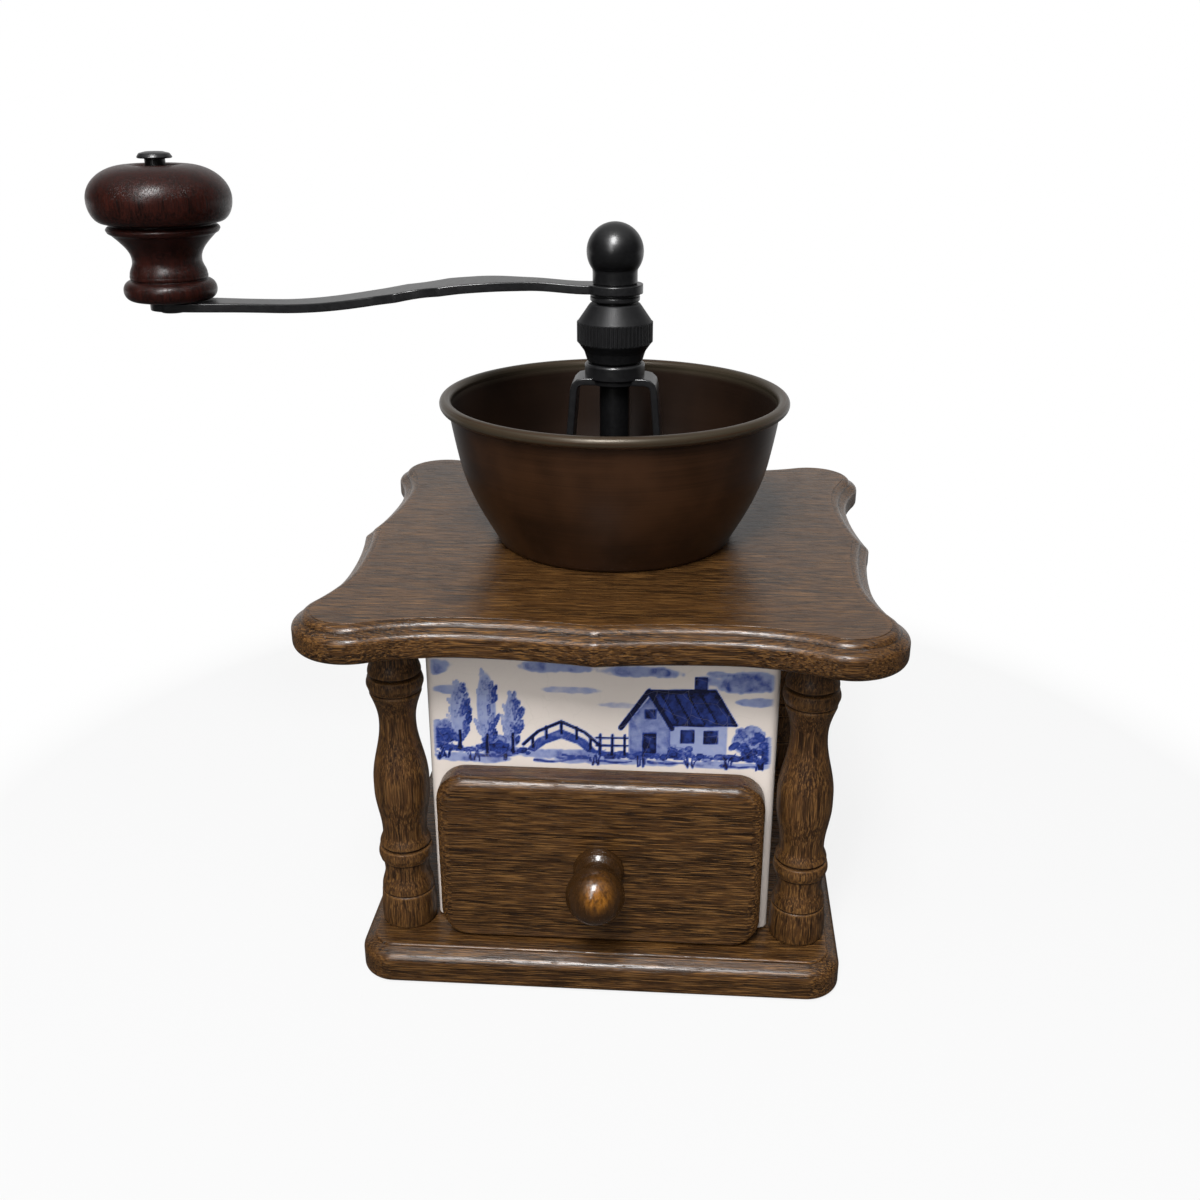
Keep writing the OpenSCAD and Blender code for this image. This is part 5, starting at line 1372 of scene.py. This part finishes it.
class MILL_OT_crank_knob(bpy.types.Operator):
    """Turned crank knob on its rivet"""

    bl_idname = "mill.crank_knob"
    bl_label = "Crank Knob"

    def execute(self, context):
        self.knob(forms())
        self.rivet(forms())
        return {"FINISHED"}

    def knob(self, size):
        """Bead, hollow neck, ring and a broad disc with a flat top, bored for the rivet."""
        lo, hi = low("crank_knob"), high("crank_knob")
        wide, tall = (hi[0] - lo[0]) / 2, hi[2] - lo[2]
        bead, neck, ring, disc_low, disc_mid, flat, bore = 10.35, 9.45, 15.5, 21.1, 27.3, 7.6, 2.85
        outline = [(bore, 0), (bead - 0.2, 0)] + arc(bead, 2.8, 2.4, -75, 75, 14, 2.75)
        outline += [(bead, 5.7), (bead + 0.3, 6.1), (bead + 0.3, 6.7)]
        outline += ease((neck + 1.1, 7), (neck, 10.8), 7) + flare((neck + 0.01, 11.2), (ring - 1.9, 17.6), 12)
        outline += [(ring - 1.5, 18), (ring - 0.6, 18.5), (ring - 0.1, 19.4), (ring - 0.5, 20.1)]
        outline += [(ring - 1.4, 20.5), (ring - 1.4, disc_low)]
        outline += arc(ring, disc_mid, wide - ring, -90, 0, 12, disc_mid - disc_low - 0.1)
        outline += arc(flat, disc_mid, wide - flat, 5, 90, 19, tall - disc_mid)
        outline += [(flat - 1.2, tall - 0.3), (flat - 1.8, tall - 1), (bore, tall - 1)]
        shape = lathe(outline, size.turns, True, size.edge / MM * 0.8)
        shape = moved(shape, (middle("crank_knob", 0), 0, lo[2]))
        knob = mesh_piece("turned_crank_knob", shape, dark_knob_wood(), sharp=55)
        dress(knob, "knob", "dark_knob", "crank_knob")

    def rivet(self, size):
        """Rivet from its foot under the arm to its domed head on the knob."""
        (x0, _, foot), (x1, _, top) = low("knob_rivet"), high("knob_rivet")
        head, foot_r, shank, head_z = (x1 - x0) / 2, 3.95, 2.75, top - 1.8
        outline = [(0, foot), (foot_r - 0.6, foot), (foot_r, foot + 0.8), (shank, foot + 0.8)]
        outline += [(shank, head_z), (head - 0.2, head_z), (head, head_z + 0.3), (head * 0.86, head_z + 1.3)]
        outline += [(head * 0.5, head_z + 1.71), (0, top)]
        shape = moved(lathe(outline, size.turns, soft=0.25), (middle("knob_rivet", 0), 0, 0))
        rivet = mesh_piece("knob_rivet_turned", shape, black_metal(), sharp=50)
        dress(rivet, "crank", "steel_fasteners", "knob_rivet")


class MILL_OT_grinding_set(bpy.types.Operator):
    """Burrs and collar in cast iron, spindle and lower bearing in black metal"""

    bl_idname = "mill.grinding_set"
    bl_label = "Grinding Set"

    def execute(self, context):
        recolour(cast_iron(), "burr_ring", "inner_burr", "burr_collar")
        recolour(black_metal(), "spindle", "lower_bearing_bridge")
        return {"FINISHED"}


def screws_at_points(name):
    """Geometry Nodes tree that sets one screw on each point, turned by chance."""
    web, given = open_tree(name, Screw="Object", Seed="Int")
    screw = web.add("GeometryNodeObjectInfo", Object=given["Screw"])
    turns = {"_2": 0.0, "_3": 2 * math.pi, "_8": given["Seed"]}
    chance = web.add("FunctionNodeRandomValue", {"data_type": "FLOAT"}, **turns)
    inputs = {"Instance": screw.outputs["Geometry"], "Rotation": web.join(0.0, 0.0, web.out(chance, 1))}
    placed_screws = web.add("GeometryNodeInstanceOnPoints", Points=given["Geometry"], **inputs)
    real = web.add("GeometryNodeRealizeInstances", Geometry=placed_screws.outputs[0])
    return close_tree(web, real, given)


class MILL_OT_screws(bpy.types.Operator):
    """Screws under the base, in the bracket's feet, under the bearing bridge and behind the drawer front"""

    bl_idname = "mill.screws"
    bl_label = "Screws"

    def execute(self, context):
        self.base_screws()
        self.bracket_screws()
        self.bridge_screws()
        recolour(plated_steel(), "drawer_knob_screw")
        return {"FINISHED"}

    def set_screws(self, node, outline, slot_low, slot_deep, head, points, seed, material, slot):
        """One slotted screw, turned from the outline, repeated on the points."""
        screw = mesh_piece("screw", lathe(outline, 48, soft=0.2), plated_steel())
        reach, half = head + 1, 0.45
        line = [(-reach, -half), (reach, -half), (reach, half), (-reach, half)]
        blade = stacked([[(x, y, z) for x, y in line] for z in (slot_low, slot_low + slot_deep)])
        cut_away(screw, mesh_piece("screw_slot", blade, plated_steel()))
        piece = mesh_piece(f"{node}_slotted", (points, []), material)
        apply_tree(piece, screws_at_points(f"{node}_slotted tree"), screw=screw, seed=seed, finish=material)
        smooth(piece.data, 40)
        bpy.data.objects.remove(screw)
        dress(piece, "case", slot, node)

    def base_screws(self):
        (_, _, foot), (x, y, top) = low("base_screws"), high("base_screws")
        head, shank, long = 4.0, 2.0, top - foot
        posts = [(sx * (x - head), sy * (y - head), foot) for sx in (-1, 1) for sy in (-1, 1)]
        outline = [(0, 0), (head, 0), (head, 0.1), (shank, 2.3), (shank, long - 1.5)]
        outline += [(shank * 0.7, long), (0, long)]
        self.set_screws("base_screws", outline, -1, 1.9, head, posts, 4, plated_steel(), "steel_fasteners")

    def pair(self, node, seat):
        """Head radius and the two places of a pair of screws that seat at that height."""
        lo, hi = low(node), high(node)
        head = (hi[1] - lo[1]) / 2
        return head, [(head - hi[0], 0, seat), (hi[0] - head, 0, seat)]

    def bracket_screws(self):
        seat = low("bearing_bracket")[2] + 2
        foot, tall = low("bracket_screws")[2] - seat, high("bracket_screws")[2] - seat
        (head, places), shank = self.pair("bracket_screws", seat), 2.0
        outline = [(0, foot), (shank - 0.4, foot), (shank, foot + 0.4), (shank, 0), (head, 0)]
        outline += [(head, tall * 0.5), (head * 0.93, tall * 0.78), (head * 0.72, tall), (0, tall)]
        black, slot_low = black_metal(), tall * 0.45
        self.set_screws("bracket_screws", outline, slot_low, tall, head, places, 9, black, "black_metal")

    def bridge_screws(self):
        seat = low("lower_bearing_bridge")[2]
        tall, long, shank = seat - low("bridge_screws")[2], high("bridge_screws")[2] - seat, 1.3
        head, places = self.pair("bridge_screws", seat)
        outline = [(0, -tall), (head * 0.72, -tall), (head, -tall * 0.5), (head, 0), (shank, 0)]
        outline += [(shank, long - 0.3), (shank - 0.3, long), (0, long)]
        steel, slot_low, deep = plated_steel(), -tall - 1, tall * 0.55 + 1
        self.set_screws("bridge_screws", outline, slot_low, deep, head, places, 2, steel, "steel_fasteners")


# ---- Panel and registration ----

STEPS = (MILL_OT_stage, MILL_OT_boards, MILL_OT_posts, MILL_OT_body, MILL_OT_drawer, MILL_OT_hopper)
STEPS += (MILL_OT_bracket, MILL_OT_adjuster, MILL_OT_crank, MILL_OT_crank_knob)
STEPS += (MILL_OT_grinding_set, MILL_OT_screws)


class MILL_PT_panel(bpy.types.Panel):
    """Sizes, colours and building steps of the coffee mill"""

    bl_idname = "MILL_PT_panel"
    bl_label = "Coffee Mill"
    bl_space_type = "VIEW_3D"
    bl_region_type = "UI"
    bl_category = "Coffee Mill"

    def draw(self, context):
        for group in (context.scene.mill_forms, context.scene.mill_finish):
            box = self.layout.box()
            for name in group.bl_rna.properties.keys():
                if name not in ("rna_type", "name"):
                    box.prop(group, name)
        for step in STEPS:
            self.layout.operator(step.bl_idname, text=step.bl_label)


CLASSES = (MillForms, MillFinish, *STEPS, MILL_PT_panel)


def register():
    for each in CLASSES:
        bpy.utils.register_class(each)
    bpy.types.Scene.mill_forms = PointerProperty(type=MillForms)
    bpy.types.Scene.mill_finish = PointerProperty(type=MillFinish)


def unregister():
    del bpy.types.Scene.mill_finish
    del bpy.types.Scene.mill_forms
    for each in reversed(CLASSES):
        bpy.utils.unregister_class(each)


def main():
    register()
    for step in STEPS:
        group, action = step.bl_idname.split(".")
        getattr(getattr(bpy.ops, group), action)()


if __name__ == "__main__":
    main()
